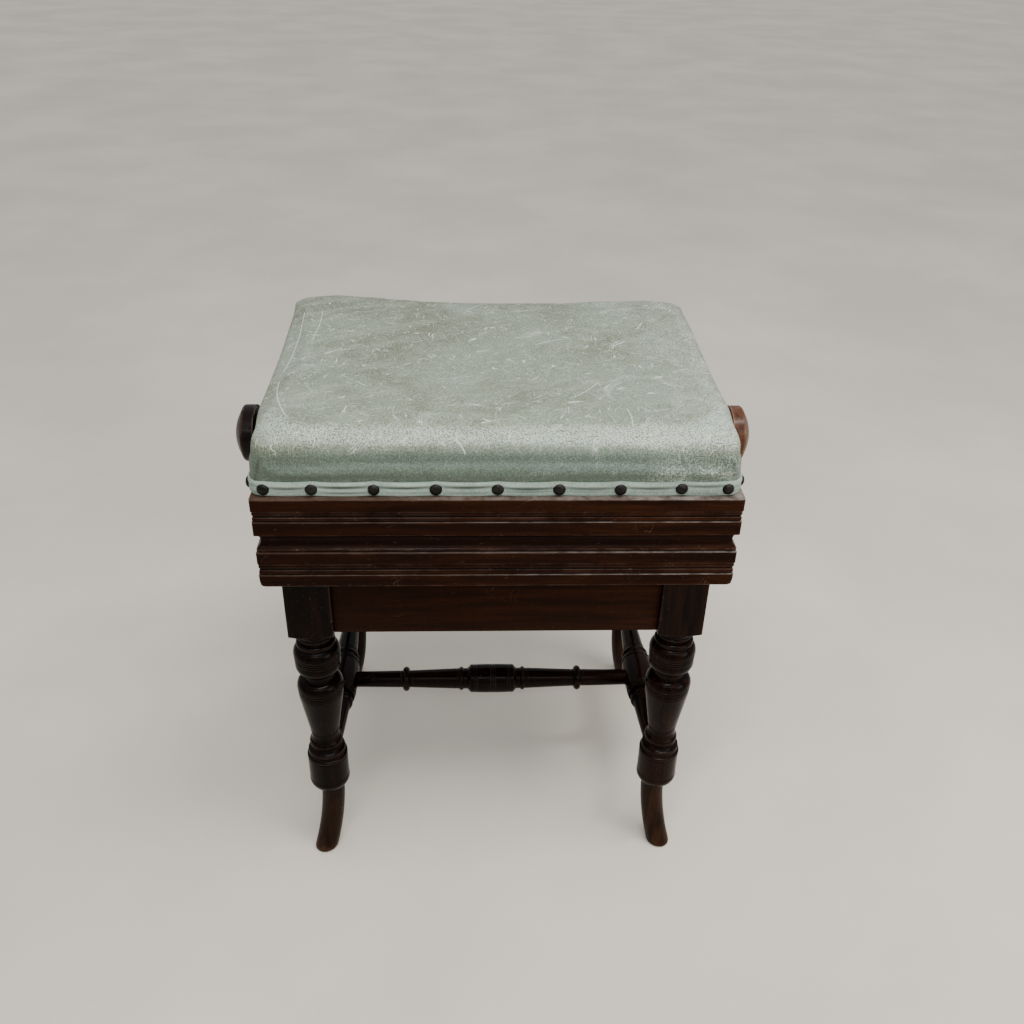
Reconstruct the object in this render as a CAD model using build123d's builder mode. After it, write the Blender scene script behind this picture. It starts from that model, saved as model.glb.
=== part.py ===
from build123d import *
import os
from math import asin, atan2, cos, degrees, hypot, pi, sin, sqrt

# Rise-and-fall piano stool, seat down. Millimetres, +Z up, X runs from knob to knob, the front
# looks towards -Y, and the origin is on the floor under the middle of the seat.
# A turned base carries a moulded box that slides up and down over its legs. A screw across the
# box, left-handed on one half and right-handed on the other, draws two nuts together, and the
# nuts stand on crossed iron arms whose feet pivot on rods in the base.

os.makedirs("parts", exist_ok=True)

# ---- sizes -------------------------------------------------------------------------------

# Seat box
box_width = 444
box_depth = 358
board_thickness = 15
board_edge = 1.5  # rounding along the bottom outer edge

# Mouldings on the boards, from the top down
top_band = 11.2
upper_reed = 5.7
upper_reeds = 2
middle_band = 13.9
cove_height = 15.5
fillet_height = 1.8
quirk_height = 2.4
lower_band = 11.9
lower_reed = 6.3
lower_reeds = 2
foot_band = 12.3
reed_depth = 2.2
reed_crest = 0.5  # of a reed behind the board's face
cove_depth = 4.8
cove_lip = 0.9
quirk_depth = 2.4

# Legs, from the floor up: heights of the members, one on another
foot_height = 95
drum_round = 14
drum_height = 34
drum_step = 7
cavetto_height = 5.7
collar_height = 9.4
vase_fillet = 5.3
vase_height = 58
vase_head = 22.3
lower_neck = 7.7
ring_height = 33.6
ring_round = 11.5  # of a ring's shoulder
ring_tuck = 14  # under the upper ring
bead_height = 7
upper_neck = 9.5
block_height = 176.7

# Legs: radii of the members, and the square block
foot_seat_radius = 16.2
drum_radius = 21.6
drum_step_radius = 19.8
collar_radius = 17.6
collar_quirk_radius = 15.3
vase_foot_radius = 14.3
vase_shoulder_radius = 23.2
ring_radius = 23.7
ring_quirk_radius = 18.6
neck_radius = 16
bead_radius = 20.1
leg_block = 45
block_cove = 8.5
block_cove_radius = 18.4  # where the cove under the block starts
block_splay = 2.5

# Swept feet, dowelled into the drums
foot_radius = 12.7
foot_inset = 3  # of the foot's seat inside the drum's axis, along the diagonal
foot_splay = 18  # how far the toe stands out from its seat, along the diagonal
toe_rounding = 4
dowel_radius = 7
dowel_length = 18

# Joints in the wood
slide_gap = 1.2  # between the legs and the inside of the box
seat_rest_gap = 0.3  # between the legs' tops and the seat board, seat down
joint_gap = 0.1  # round a tenon, dowel, rod or pin in its hole
end_gap = 1  # past the end of a tenon or dowel

# Rails between the square blocks
rail_thickness = 20
rail_setback = 5
rail_above_block_foot = 12.3
rail_below_leg_top = 14.7
tenon_thickness = 9
tenon_length = 18
tenon_shoulder = 14  # from the rail's edges to its tenon

# Stretchers: distances are from the middle of each
stretcher_above_drum_foot = 10.5
socket_depth = 12
bulb_half = 31
bulb_radius = 19.3
bulb_end_radius = 17.6
bulb_quirk_radius = 14
side_ring_start = 36
side_ring_width = 8
side_ring_radius = 16.4
side_neck_radius = 13.8
side_end_radius = 9.5
barrel_half = 26
barrel_radius = 17.5
barrel_end_radius = 17
barrel_shoulder = 4
centre_ring_start = 35
centre_ring_width = 5
centre_ring_radius = 14.4
centre_neck_radius = 12.6
centre_bead_start = 101
centre_bead_width = 8
centre_bead_radius = 15
centre_waist_radius = 10.3
centre_end_radius = 9.4

# Seat frame, stuffing and cover
front_ledge = 8  # of the box's top that shows in front of the pad, and behind it
side_ledge = 6
pad_corner = 14
board_height = 18
cover_thickness = 1.8
soft_gap = 0.3
band_height = 17
band_thickness = 1.2
wall_height = 35  # of the cover's upright side above the boards
wall_bulge = 3
roll_height = 24
roll_inset = 26
roll_steps = 5
crown_rise = 4
crown_width = 214
crown_depth = 124
crown_corner = 40
crown_steps = 3
side_draw = 2.5  # how far the sides pull in between the corners

# Dome nails round the band
nail_radius = 5.6
nail_height = 3.2
nail_crown_radius = 3.4
nail_above_ledge = 8.8
nail_shank = 1.6
nail_shank_length = 12
front_nails = 9
side_nails = 7
end_nail_inset = 9.5  # from the pad's corner to the last nail at the front
end_nail_gap = 42.1  # from there to the next nail; the others are evenly spaced
side_nail_inset = 14

# Glue blocks under the seat board
glue_block = 12
glue_gap = 3

# Screw and nuts
screw_below_ledge = 25
screw_radius = 8
screw_middle_radius = 9.5
stop_gap = 0.5  # between a nut and the screw's thicker middle, seat up
lift_travel = 70
notch_gap = 6  # round the screw where it lies in the side rails
nut_length = 24
nut_width = 30
nut_height = 22
nut_play = 0.6  # round the screw
trunnion_radius = 8
trunnion_pin_radius = 6
washer_radius = 10.5
washer_thickness = 1.5
rivet_radius = 8.5
rivet_height = 2

# Arms and their pivot rods
arm_rise = 50  # from an arm's lower to its upper pivot, seat down
arm_width = 18
arm_thickness = 5
arm_eye_radius = 11
arm_setback = 35.3  # from the front rail to the outer pair of arms
arm_spacing = 3  # between the two pairs
side_gap = 0.3
rod_radius = 5
rod_inset = 12.8  # from the leg's block to the middle of the rod
rod_socket = 10
sleeve_radius = 8

# Bushes, knobs and their pins
bush_flange_radius = 17
bush_flange = 2.5
bush_radius = 11
knob_gap = 0.5
collar_length = 7
knob_collar_radius = 16
knob_neck = 6  # from the collar to the thinnest part
knob_neck_radius = 11.5
knob_flare = 9
knob_rim = 11
knob_radius = 29.8
knob_rim_rounding = 3.5
knob_dome = 11.5
spigot_radius = 6
spigot_length = 31
pin_radius = 2
pin_sink = 0.4  # of its ends below the collar

# ---- places that follow from the sizes ---------------------------------------------------

up = Vector(0, 0, 1)
corners = {
    "front_left": (-1, -1), "front_right": (1, -1),
    "back_left": (-1, 1), "back_right": (1, 1),
}
sides = {"front": (0, -1), "back": (0, 1), "left": (-1, 0), "right": (1, 0)}

drum_foot = foot_height + drum_round
drum_top = drum_foot + drum_height
step_top = drum_top + drum_step
collar_foot = step_top + cavetto_height
collar_top = collar_foot + collar_height
vase_foot = collar_top + vase_fillet
vase_shoulder = vase_foot + vase_height
vase_top = vase_shoulder + vase_head
ring_foot = vase_top + lower_neck
ring_top = ring_foot + ring_height
bead_top = ring_top + bead_height
block_foot = bead_top + upper_neck
leg_top = block_foot + block_height
ledge_height = leg_top + seat_rest_gap  # top of the moulded boards
pad_width = box_width - 2 * side_ledge
pad_depth = box_depth - 2 * front_ledge

leg_x = box_width / 2 - board_thickness - slide_gap - leg_block / 2
leg_y = box_depth / 2 - board_thickness - slide_gap - leg_block / 2
foot_shift = foot_inset * sqrt(0.5)
block_inside_x = leg_x - leg_block / 2
block_inside_y = leg_y - leg_block / 2

rail_bottom = block_foot + rail_above_block_foot
rail_top = leg_top - rail_below_leg_top
rail_x = leg_x + leg_block / 2 - rail_setback - rail_thickness / 2
rail_y = leg_y + leg_block / 2 - rail_setback - rail_thickness / 2
rail_inside_y = rail_y - rail_thickness / 2
tenon_height = rail_top - rail_bottom - 2 * tenon_shoulder
tenon_middle = (rail_top + rail_bottom) / 2

stretcher_height = drum_foot + stretcher_above_drum_foot
screw_height = ledge_height - screw_below_ledge
pivot_x = block_inside_x - rod_inset
pivot_height = screw_height - arm_rise
nut_x = pivot_x  # seat down, each nut is over the other pair's pivot
arm_length = hypot(nut_x + pivot_x, arm_rise)
arm_angle = degrees(atan2(arm_rise, nut_x + pivot_x))
raised_nut_x = sqrt(arm_length**2 - (arm_rise + lift_travel) ** 2) - pivot_x
outer_arm_y = rail_inside_y - arm_setback - arm_thickness / 2
inner_arm_y = outer_arm_y - arm_thickness - arm_spacing
knob_x = box_width / 2 + bush_flange + knob_gap

# ---- base: legs --------------------------------------------------------------------------

for name, (sx, sy) in corners.items():
    x, y = sx * leg_x, sy * leg_y
    leg_axis = Axis((x, y, 0), (0, 0, 1))
    turning_plane = Plane(origin=(x, y, 0), x_dir=(1, 0, 0), z_dir=(0, -1, 0))
    with BuildPart() as leg:
        with BuildSketch(Plane(origin=(x, y, block_foot))):
            Rectangle(leg_block, leg_block)
        extrude(amount=block_height)
        # the block's lower corners, turned to a cove under a splayed edge
        with BuildSketch(turning_plane):
            cove_end = block_cove_radius + block_cove
            cove_top = block_foot + block_cove
            with BuildLine():
                ThreePointArc(
                    (block_cove_radius, block_foot),
                    (cove_end - block_cove * sqrt(0.5), block_foot + block_cove * sqrt(0.5)),
                    (cove_end, cove_top),
                )
                Polyline(
                    (cove_end, cove_top),
                    (leg_block, cove_top + block_splay * (leg_block - cove_end) / block_cove),
                    (leg_block, block_foot),
                    (block_cove_radius, block_foot),
                )
            make_face()
        revolve(axis=leg_axis, mode=Mode.SUBTRACT)
        with BuildSketch(turning_plane):
            with BuildLine():
                Line((0, block_foot), (neck_radius, block_foot))
                Line((neck_radius, block_foot), (neck_radius, bead_top))
                ThreePointArc(
                    (neck_radius, bead_top),
                    (bead_radius, ring_top + bead_height / 2),
                    (ring_quirk_radius, ring_top),
                )
                ThreePointArc(
                    (ring_quirk_radius, ring_top),
                    (
                        ring_radius - (ring_radius - ring_quirk_radius) * (1 - sqrt(0.5)),
                        ring_top - ring_round * (1 - sqrt(0.5)),
                    ),
                    (ring_radius, ring_top - ring_round),
                )
                Line(
                    (ring_radius, ring_top - ring_round),
                    (vase_shoulder_radius, ring_foot + ring_tuck),
                )
                ThreePointArc(
                    (vase_shoulder_radius, ring_foot + ring_tuck),
                    (
                        vase_shoulder_radius
                        - (vase_shoulder_radius - neck_radius) * (1 - sqrt(0.5)),
                        ring_foot + ring_tuck * (1 - sqrt(0.5)),
                    ),
                    (neck_radius, ring_foot),
                )
                Line((neck_radius, ring_foot), (neck_radius, vase_top))
                ThreePointArc(
                    (neck_radius, vase_top),
                    (
                        ring_radius - (ring_radius - neck_radius) * (1 - sqrt(0.5)),
                        vase_top - ring_round * (1 - sqrt(0.5)),
                    ),
                    (ring_radius, vase_top - ring_round),
                )
                Line(
                    (ring_radius, vase_top - ring_round),
                    (vase_shoulder_radius, vase_shoulder),
                )
                Polyline(
                    (vase_shoulder_radius, vase_shoulder),
                    (vase_foot_radius, vase_foot),
                    (collar_quirk_radius, collar_top),
                )
                ThreePointArc(
                    (collar_quirk_radius, collar_top),
                    (collar_radius, collar_foot + collar_height / 2),
                    (collar_quirk_radius, collar_foot),
                )
                ThreePointArc(
                    (collar_quirk_radius, collar_foot),
                    (
                        drum_step_radius - (drum_step_radius - collar_quirk_radius) * sqrt(0.5),
                        collar_foot - cavetto_height * sqrt(0.5),
                    ),
                    (drum_step_radius, step_top),
                )
                Polyline(
                    (drum_step_radius, step_top),
                    (drum_step_radius, drum_top),
                    (drum_radius, drum_top),
                    (drum_radius, drum_foot),
                )
                ThreePointArc(
                    (drum_radius, drum_foot),
                    (
                        foot_seat_radius + (drum_radius - foot_seat_radius) * sqrt(0.5),
                        foot_height + drum_round * (1 - sqrt(0.5)),
                    ),
                    (foot_seat_radius, foot_height),
                )
                Polyline((foot_seat_radius, foot_height), (0, foot_height), (0, block_foot))
            make_face()
        revolve(axis=leg_axis)
        # hole for the foot's dowel
        with BuildSketch(Plane(origin=(x - sx * foot_shift, y - sy * foot_shift, foot_height))):
            Circle(dowel_radius + joint_gap)
        extrude(amount=dowel_length + end_gap, mode=Mode.SUBTRACT)
        # mortises for the two rails
        mortise_depth = tenon_length + end_gap
        mortise_width = tenon_thickness + 2 * joint_gap
        mortise_height = tenon_height + 2 * joint_gap
        mortise_x = sx * (block_inside_x + mortise_depth / 2)
        mortise_y = sy * (block_inside_y + mortise_depth / 2)
        with Locations((mortise_x, sy * rail_y, tenon_middle)):
            Box(mortise_depth, mortise_width, mortise_height, mode=Mode.SUBTRACT)
        with Locations((sx * rail_x, mortise_y, tenon_middle)):
            Box(mortise_width, mortise_depth, mortise_height, mode=Mode.SUBTRACT)
        # socket for the side stretcher
        socket_end = y - sy * (drum_radius - socket_depth - end_gap)
        with BuildSketch(
            Plane(origin=(x, socket_end, stretcher_height), x_dir=(1, 0, 0), z_dir=(0, -sy, 0))
        ):
            Circle(side_end_radius + joint_gap)
        extrude(amount=drum_radius, mode=Mode.SUBTRACT)
    leg.part.label = f"leg_{name}"
    export_step(leg.part, f"parts/leg_{name}.step")

# ---- base: swept feet --------------------------------------------------------------------

# Each foot is an arc that leaves its drum straight down and ends at the floor, splayed.
swing_radius = (foot_height**2 + foot_splay**2) / (2 * foot_splay)
swing_past_floor = 1  # degrees, trimmed level
swing_angle = degrees(asin(foot_height / (swing_radius - foot_radius))) + swing_past_floor
for name, (sx, sy) in corners.items():
    foot_seat = Vector(sx * (leg_x - foot_shift), sy * (leg_y - foot_shift), foot_height)
    outward = Vector(sx, sy, 0).normalized()
    with BuildPart() as foot:
        with BuildSketch(Plane(origin=foot_seat)):
            Circle(foot_radius)
        revolve(
            axis=Axis(foot_seat + outward * swing_radius, outward.cross(up)),
            revolution_arc=swing_angle,
        )
        split(bisect_by=Plane.XY, keep=Keep.TOP)
        fillet(foot.edges().group_by(Axis.Z)[0], radius=toe_rounding)
        with BuildSketch(Plane(origin=foot_seat)):
            Circle(dowel_radius)
        extrude(amount=dowel_length)
    foot.part.label = f"foot_{name}"
    export_step(foot.part, f"parts/foot_{name}.step")

# ---- base: rails -------------------------------------------------------------------------

for name, (sx, sy) in sides.items():
    outward = Vector(sx, sy, 0)
    along = outward.cross(up)
    rail_middle = outward * (rail_x if sx else rail_y)
    half_length = block_inside_y if sx else block_inside_x
    with BuildPart() as rail:
        with BuildSketch(Plane(origin=rail_middle, x_dir=outward, z_dir=along)):
            with Locations((0, tenon_middle)):
                Rectangle(rail_thickness, rail_top - rail_bottom)
        extrude(amount=half_length, both=True)
        with BuildSketch(Plane(origin=rail_middle, x_dir=outward, z_dir=along)):
            with Locations((0, tenon_middle)):
                Rectangle(tenon_thickness, tenon_height)
        extrude(amount=half_length + tenon_length, both=True)
        if sx:
            # open notch, sawn square, in which the screw lies when the seat is down
            notch = screw_radius + notch_gap
            with BuildSketch(Plane(origin=rail_middle, x_dir=-along, z_dir=outward)):
                with Locations((0, screw_height - notch)):
                    Rectangle(2 * notch, screw_below_ledge + notch, align=(Align.CENTER, Align.MIN))
            extrude(amount=rail_thickness, both=True, mode=Mode.SUBTRACT)
        else:
            # blind holes for the ends of the two pivot rods
            inner_face = outward * rail_inside_y
            with BuildSketch(Plane(origin=inner_face, x_dir=-along, z_dir=outward)):
                with Locations((-pivot_x, pivot_height), (pivot_x, pivot_height)):
                    Circle(rod_radius + joint_gap)
            extrude(amount=rod_socket + end_gap, mode=Mode.SUBTRACT)
    rail.part.label = f"rail_{name}"
    export_step(rail.part, f"parts/rail_{name}.step")

# ---- base: turned stretchers -------------------------------------------------------------

side_end = leg_y - drum_radius + socket_depth
for name, sx in (("left", -1), ("right", 1)):
    x = sx * leg_x
    with BuildPart() as side_stretcher:
        with BuildSketch(
            Plane(origin=(x, 0, stretcher_height), x_dir=(0, 1, 0), z_dir=(1, 0, 0))
        ):
            with BuildLine():
                ring_end = side_ring_start + side_ring_width
                Line((0, 0), (side_end, 0))
                Line((side_end, 0), (side_end, side_end_radius))
                Line((side_end, side_end_radius), (leg_y - drum_radius, side_end_radius))
                Line((leg_y - drum_radius, side_end_radius), (ring_end, side_neck_radius))
                ThreePointArc(
                    (ring_end, side_neck_radius),
                    (side_ring_start + side_ring_width / 2, side_ring_radius),
                    (side_ring_start, bulb_quirk_radius),
                )
                Polyline(
                    (side_ring_start, bulb_quirk_radius),
                    (bulb_half, bulb_quirk_radius),
                    (bulb_half, bulb_end_radius),
                )
                ThreePointArc(
                    (bulb_half, bulb_end_radius),
                    (bulb_half / 2, bulb_radius - (bulb_radius - bulb_end_radius) / 4),
                    (0, bulb_radius),
                )
                mirror(about=Plane.YZ)
            make_face()
        revolve(axis=Axis((x, 0, stretcher_height), (0, 1, 0)))
        # socket for the cross stretcher, from the inner side
        socket_end = x - sx * (bulb_radius - socket_depth - end_gap)
        with BuildSketch(
            Plane(origin=(socket_end, 0, stretcher_height), x_dir=(0, 1, 0), z_dir=(-sx, 0, 0))
        ):
            Circle(centre_end_radius + joint_gap)
        extrude(amount=bulb_radius, mode=Mode.SUBTRACT)
    side_stretcher.part.label = f"stretcher_{name}"
    export_step(side_stretcher.part, f"parts/stretcher_{name}.step")

centre_end = leg_x - bulb_radius + socket_depth
with BuildPart() as centre_stretcher:
    with BuildSketch(Plane(origin=(0, 0, stretcher_height), x_dir=(1, 0, 0), z_dir=(0, -1, 0))):
        with BuildLine():
            centre_ring_end = centre_ring_start + centre_ring_width
            centre_bead_end = centre_bead_start + centre_bead_width
            Polyline(
                (0, 0),
                (centre_end, 0),
                (centre_end, centre_end_radius),
                (leg_x - bulb_radius, centre_end_radius),
                (centre_bead_end, centre_waist_radius),
            )
            ThreePointArc(
                (centre_bead_end, centre_waist_radius),
                (centre_bead_start + centre_bead_width / 2, centre_bead_radius),
                (centre_bead_start, centre_waist_radius),
            )
            Line((centre_bead_start, centre_waist_radius), (centre_ring_end, centre_neck_radius))
            ThreePointArc(
                (centre_ring_end, centre_neck_radius),
                (centre_ring_start + centre_ring_width / 2, centre_ring_radius),
                (centre_ring_start, centre_neck_radius),
            )
            Polyline(
                (centre_ring_start, centre_neck_radius),
                (barrel_half + barrel_shoulder, centre_neck_radius),
                (barrel_half, barrel_end_radius),
            )
            ThreePointArc(
                (barrel_half, barrel_end_radius),
                (barrel_half / 2, barrel_radius - (barrel_radius - barrel_end_radius) / 4),
                (0, barrel_radius),
            )
            mirror(about=Plane.YZ)
        make_face()
    revolve(axis=Axis((0, 0, stretcher_height), (1, 0, 0)))
centre_stretcher.part.label = "stretcher_centre"
export_step(centre_stretcher.part, "parts/stretcher_centre.step")

# ---- seat box: moulded boards ------------------------------------------------------------


def reeds(top, count, height):
    """A row of reeds sunk in the board's face, from its top down; returns where it ends."""
    face = board_thickness
    Line((face, top), (face - reed_depth, top))
    for i in range(count):
        reed_top = top - i * height
        ThreePointArc(
            (face - reed_depth, reed_top),
            (face - reed_crest, reed_top - height / 2),
            (face - reed_depth, reed_top - height),
        )
    bottom = top - count * height
    Line((face - reed_depth, bottom), (face, bottom))
    return bottom


for name, (sx, sy) in sides.items():
    outward = Vector(sx, sy, 0)
    along = outward.cross(up)
    half_across = (box_width if sx else box_depth) / 2
    half_length = (box_depth if sx else box_width) / 2
    inner_face = outward * (half_across - board_thickness)
    with BuildPart() as board:
        with BuildSketch(Plane(origin=inner_face, x_dir=outward, z_dir=along)):
            with BuildLine():
                face = board_thickness
                upper_row = ledge_height - top_band
                Polyline((0, ledge_height), (face, ledge_height), (face, upper_row))
                middle_top = reeds(upper_row, upper_reeds, upper_reed)
                cove_top = middle_top - middle_band
                cove_bottom = cove_top - cove_height
                lip = face - cove_lip
                Polyline((face, middle_top), (face, cove_top), (lip, cove_top))
                ThreePointArc(
                    (lip, cove_top),
                    (face - cove_depth, (cove_top + cove_bottom) / 2),
                    (lip, cove_bottom),
                )
                quirk_top = cove_bottom - fillet_height
                quirk_bottom = quirk_top - quirk_height
                lower_row = quirk_bottom - lower_band
                Polyline(
                    (lip, cove_bottom),
                    (lip, quirk_top),
                    (face - quirk_depth, quirk_top - quirk_height / 2),
                    (face, quirk_bottom),
                    (face, lower_row),
                )
                foot_top = reeds(lower_row, lower_reeds, lower_reed)
                box_bottom = foot_top - foot_band
                Line((face, foot_top), (face, box_bottom + board_edge))
                ThreePointArc(
                    (face, box_bottom + board_edge),
                    (
                        face - board_edge * (1 - sqrt(0.5)),
                        box_bottom + board_edge * (1 - sqrt(0.5)),
                    ),
                    (face - board_edge, box_bottom),
                )
                Polyline((face - board_edge, box_bottom), (0, box_bottom), (0, ledge_height))
            make_face()
        extrude(amount=half_length, both=True)
        for end in (-1, 1):
            corner = outward * half_across + along * (end * half_length)
            mitre = Plane(origin=corner, z_dir=along * end - outward)
            split(bisect_by=mitre, keep=Keep.BOTTOM)
        if sx:
            with Locations(Plane(origin=(sx * half_across, 0, screw_height), z_dir=outward)):
                Hole(bush_radius + joint_gap)
    board.part.label = f"frieze_{name}"
    export_step(board.part, f"parts/frieze_{name}.step")

# ---- seat box: board and glue blocks -----------------------------------------------------

board_clear = cover_thickness + soft_gap
with BuildPart() as seat_board:
    with BuildSketch(Plane.XY.offset(ledge_height)):
        RectangleRounded(
            pad_width - 2 * board_clear, pad_depth - 2 * board_clear, pad_corner - board_clear
        )
    extrude(amount=board_height)
seat_board.part.label = "seat_board"
export_step(seat_board.part, "parts/seat_board.step")

# Long blocks behind the front and back boards, and at the sides one each side of the bush.
for name, (sx, sy) in sides.items():
    block_x = sx * (box_width / 2 - board_thickness - glue_block / 2)
    block_y = sy * (box_depth / 2 - board_thickness - glue_block / 2)
    side_start = bush_flange_radius + glue_gap
    side_length = block_inside_y - glue_gap - side_start
    with BuildPart() as glue_blocks:
        with BuildSketch(Plane.XY.offset(ledge_height - glue_block)):
            if sx:
                side_y = side_start + side_length / 2
                with Locations((block_x, -side_y), (block_x, side_y)):
                    Rectangle(glue_block, side_length)
            else:
                with Locations((0, block_y)):
                    Rectangle(2 * (block_inside_x - glue_gap), glue_block)
        extrude(amount=glue_block)
    glue_blocks.part.label = f"glue_blocks_{name}"
    export_step(glue_blocks.part, f"parts/glue_blocks_{name}.step")

# ---- upholstery: stuffing and leather cover ----------------------------------------------

cover_foot = ledge_height + soft_gap
board_top = ledge_height + board_height


def pad_section(height, half_x, half_y, corner, draw):
    """Outline of the seat at a height: a rounded rectangle whose sides pull in by draw."""
    flat_x = half_x - corner
    flat_y = half_y - corner
    diagonal = corner * sqrt(0.5)
    with BuildSketch(Plane.XY.offset(height)) as outline:
        with BuildLine():
            for s in (-1, 1):
                ThreePointArc(
                    (-flat_x, s * half_y), (0, s * (half_y - draw)), (flat_x, s * half_y)
                )
                ThreePointArc(
                    (s * half_x, -flat_y), (s * (half_x - draw), 0), (s * half_x, flat_y)
                )
            for sx, sy in corners.values():
                ThreePointArc(
                    (sx * half_x, sy * flat_y),
                    (sx * (flat_x + diagonal), sy * (flat_y + diagonal)),
                    (sx * flat_x, sy * half_y),
                )
        make_face()
    return outline.sketch


def straight_section(height, inset):
    """Outline of the seat behind the band, where the leather is nailed to the board."""
    with BuildSketch(Plane.XY.offset(height)) as outline:
        RectangleRounded(pad_width - 2 * inset, pad_depth - 2 * inset, pad_corner - inset)
    return outline.sketch


def pad_sections(inset):
    """Sections of the padded part, set in by inset all over: a bulging wall, a quarter
    ellipse at the edge and a low crown."""
    sections = []
    roll_foot = ledge_height + wall_height
    roll_top = roll_foot + roll_height - inset
    half_x = pad_width / 2 - inset + wall_bulge
    half_y = pad_depth / 2 - inset + wall_bulge
    corner = pad_corner - inset + wall_bulge
    for i in range(roll_steps + 1):
        turn = i / roll_steps * pi / 2
        pulled = (roll_inset - inset) * (1 - cos(turn))
        sections.append(
            pad_section(
                roll_foot + (roll_height - inset) * sin(turn),
                half_x - pulled,
                half_y - pulled,
                corner + pulled / 3,
                side_draw * (1 + sin(turn)) / 2,
            )
        )
    for i in range(1, crown_steps + 1):
        share = i / crown_steps
        sections.append(
            pad_section(
                roll_top + crown_rise * (1 - (1 - share) ** 2),
                half_x - pulled + (crown_width / 2 - half_x + pulled) * share,
                half_y - pulled + (crown_depth / 2 - half_y + pulled) * share,
                corner + pulled / 3 + (crown_corner - corner - pulled / 3) * share,
                side_draw * (1 - share / 2),
            )
        )
    return sections


stuffing_sections = [
    straight_section(board_top + soft_gap, board_clear),
    *pad_sections(board_clear),
]
with BuildPart() as stuffing:
    loft(stuffing_sections, ruled=True)
stuffing.part.label = "seat_stuffing"
export_step(stuffing.part, "parts/seat_stuffing.step")

outer_sections, inner_sections = (
    [
        straight_section(cover_foot, inset),
        straight_section(cover_foot + band_height, inset),
        *pad_sections(inset),
    ]
    for inset in (0, cover_thickness)
)
with BuildPart() as cover:
    loft(outer_sections, ruled=True)
    loft(inner_sections, ruled=True, mode=Mode.SUBTRACT)
cover.part.label = "leather_cover"
export_step(cover.part, "parts/leather_cover.step")

with BuildPart() as band:
    with BuildSketch(Plane.XY.offset(cover_foot)):
        RectangleRounded(
            pad_width + 2 * band_thickness,
            pad_depth + 2 * band_thickness,
            pad_corner + band_thickness,
        )
        RectangleRounded(pad_width, pad_depth, pad_corner, mode=Mode.SUBTRACT)
    extrude(amount=band_height)
band.part.label = "leather_band"
export_step(band.part, "parts/leather_band.step")

# ---- upholstery: dome nails --------------------------------------------------------------

end_nail_x = pad_width / 2 - end_nail_inset
inner_span = 2 * (end_nail_x - end_nail_gap)
inner_nails = front_nails - 2
front_nail_xs = [inner_span * (i / (inner_nails - 1) - 0.5) for i in range(inner_nails)]
front_nail_xs += [-end_nail_x, end_nail_x]
side_span = pad_depth - 2 * side_nail_inset
side_nail_ys = [side_span * (i / (side_nails - 1) - 0.5) for i in range(side_nails)]
nail_z = ledge_height + nail_above_ledge
nail_places = []
for s in (-1, 1):
    front_y = s * (pad_depth / 2 + band_thickness)
    side_x = s * (pad_width / 2 + band_thickness)
    for x in front_nail_xs:
        nail_places.append(Plane(origin=(x, front_y, nail_z), x_dir=up, z_dir=(0, s, 0)))
    for y in side_nail_ys:
        nail_places.append(Plane(origin=(side_x, y, nail_z), x_dir=up, z_dir=(s, 0, 0)))
with BuildPart() as nails:
    for place in nail_places:
        with BuildSketch(place):
            RegularPolygon(nail_radius, 8)
        with BuildSketch(place.offset(nail_height)):
            RegularPolygon(nail_crown_radius, 8)
        loft(ruled=True)
        with BuildSketch(place):
            Rectangle(nail_shank, nail_shank)
        extrude(amount=-nail_shank_length)
nails.part.label = "dome_nails"
export_step(nails.part, "parts/dome_nails.step")

# ---- lift: pivot rods and sleeves in the base --------------------------------------------

for name, sx, arm_y in (("left", -1, outer_arm_y), ("right", 1, inner_arm_y)):
    rod_plane = Plane(origin=(sx * pivot_x, 0, pivot_height), x_dir=(1, 0, 0), z_dir=(0, 1, 0))
    with BuildPart() as rod:
        with BuildSketch(rod_plane):
            Circle(rod_radius)
        extrude(amount=rail_inside_y + rod_socket, both=True)
    rod.part.label = f"pivot_rod_{name}"
    export_step(rod.part, f"parts/pivot_rod_{name}.step")

    # a long sleeve between the pair of arms, and a short one outside each arm
    sleeve_start = arm_y + arm_thickness / 2 + side_gap
    with BuildPart() as sleeves:
        with BuildSketch(rod_plane):
            Circle(sleeve_radius)
            Circle(rod_radius + joint_gap, mode=Mode.SUBTRACT)
        extrude(amount=arm_y - arm_thickness / 2 - side_gap, both=True)
        for end in (-1, 1):
            with BuildSketch(rod_plane.offset(end * sleeve_start)):
                Circle(sleeve_radius)
                Circle(rod_radius + joint_gap, mode=Mode.SUBTRACT)
            extrude(amount=end * (rail_inside_y - side_gap - sleeve_start))
    sleeves.part.label = f"rod_sleeves_{name}"
    export_step(sleeves.part, f"parts/rod_sleeves_{name}.step")

# ---- lift: arms --------------------------------------------------------------------------

for name, sx, arm_y in (("left", -1, outer_arm_y), ("right", 1, inner_arm_y)):
    for end, sy in (("front", -1), ("back", 1)):
        # flat bar with an eye at each end, drawn along its own length from the lower pivot
        arm_plane = Plane(
            origin=(sx * pivot_x, sy * arm_y, pivot_height),
            x_dir=Vector(-sx, 0, 0).rotate(Axis.Y, sx * arm_angle),
            z_dir=(0, sx, 0),
        )
        with BuildPart() as arm:
            with BuildSketch(arm_plane):
                with Locations((0, 0), (arm_length, 0)):
                    Circle(arm_eye_radius)
                Rectangle(arm_length, arm_width, align=(Align.MIN, Align.CENTER))
                Circle(rod_radius + joint_gap, mode=Mode.SUBTRACT)
                with Locations((arm_length, 0)):
                    Circle(trunnion_pin_radius + joint_gap, mode=Mode.SUBTRACT)
            extrude(amount=arm_thickness / 2, both=True)
        arm.part.label = f"arm_{name}_{end}"
        export_step(arm.part, f"parts/arm_{name}_{end}.step")

# ---- lift: nuts --------------------------------------------------------------------------

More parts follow.
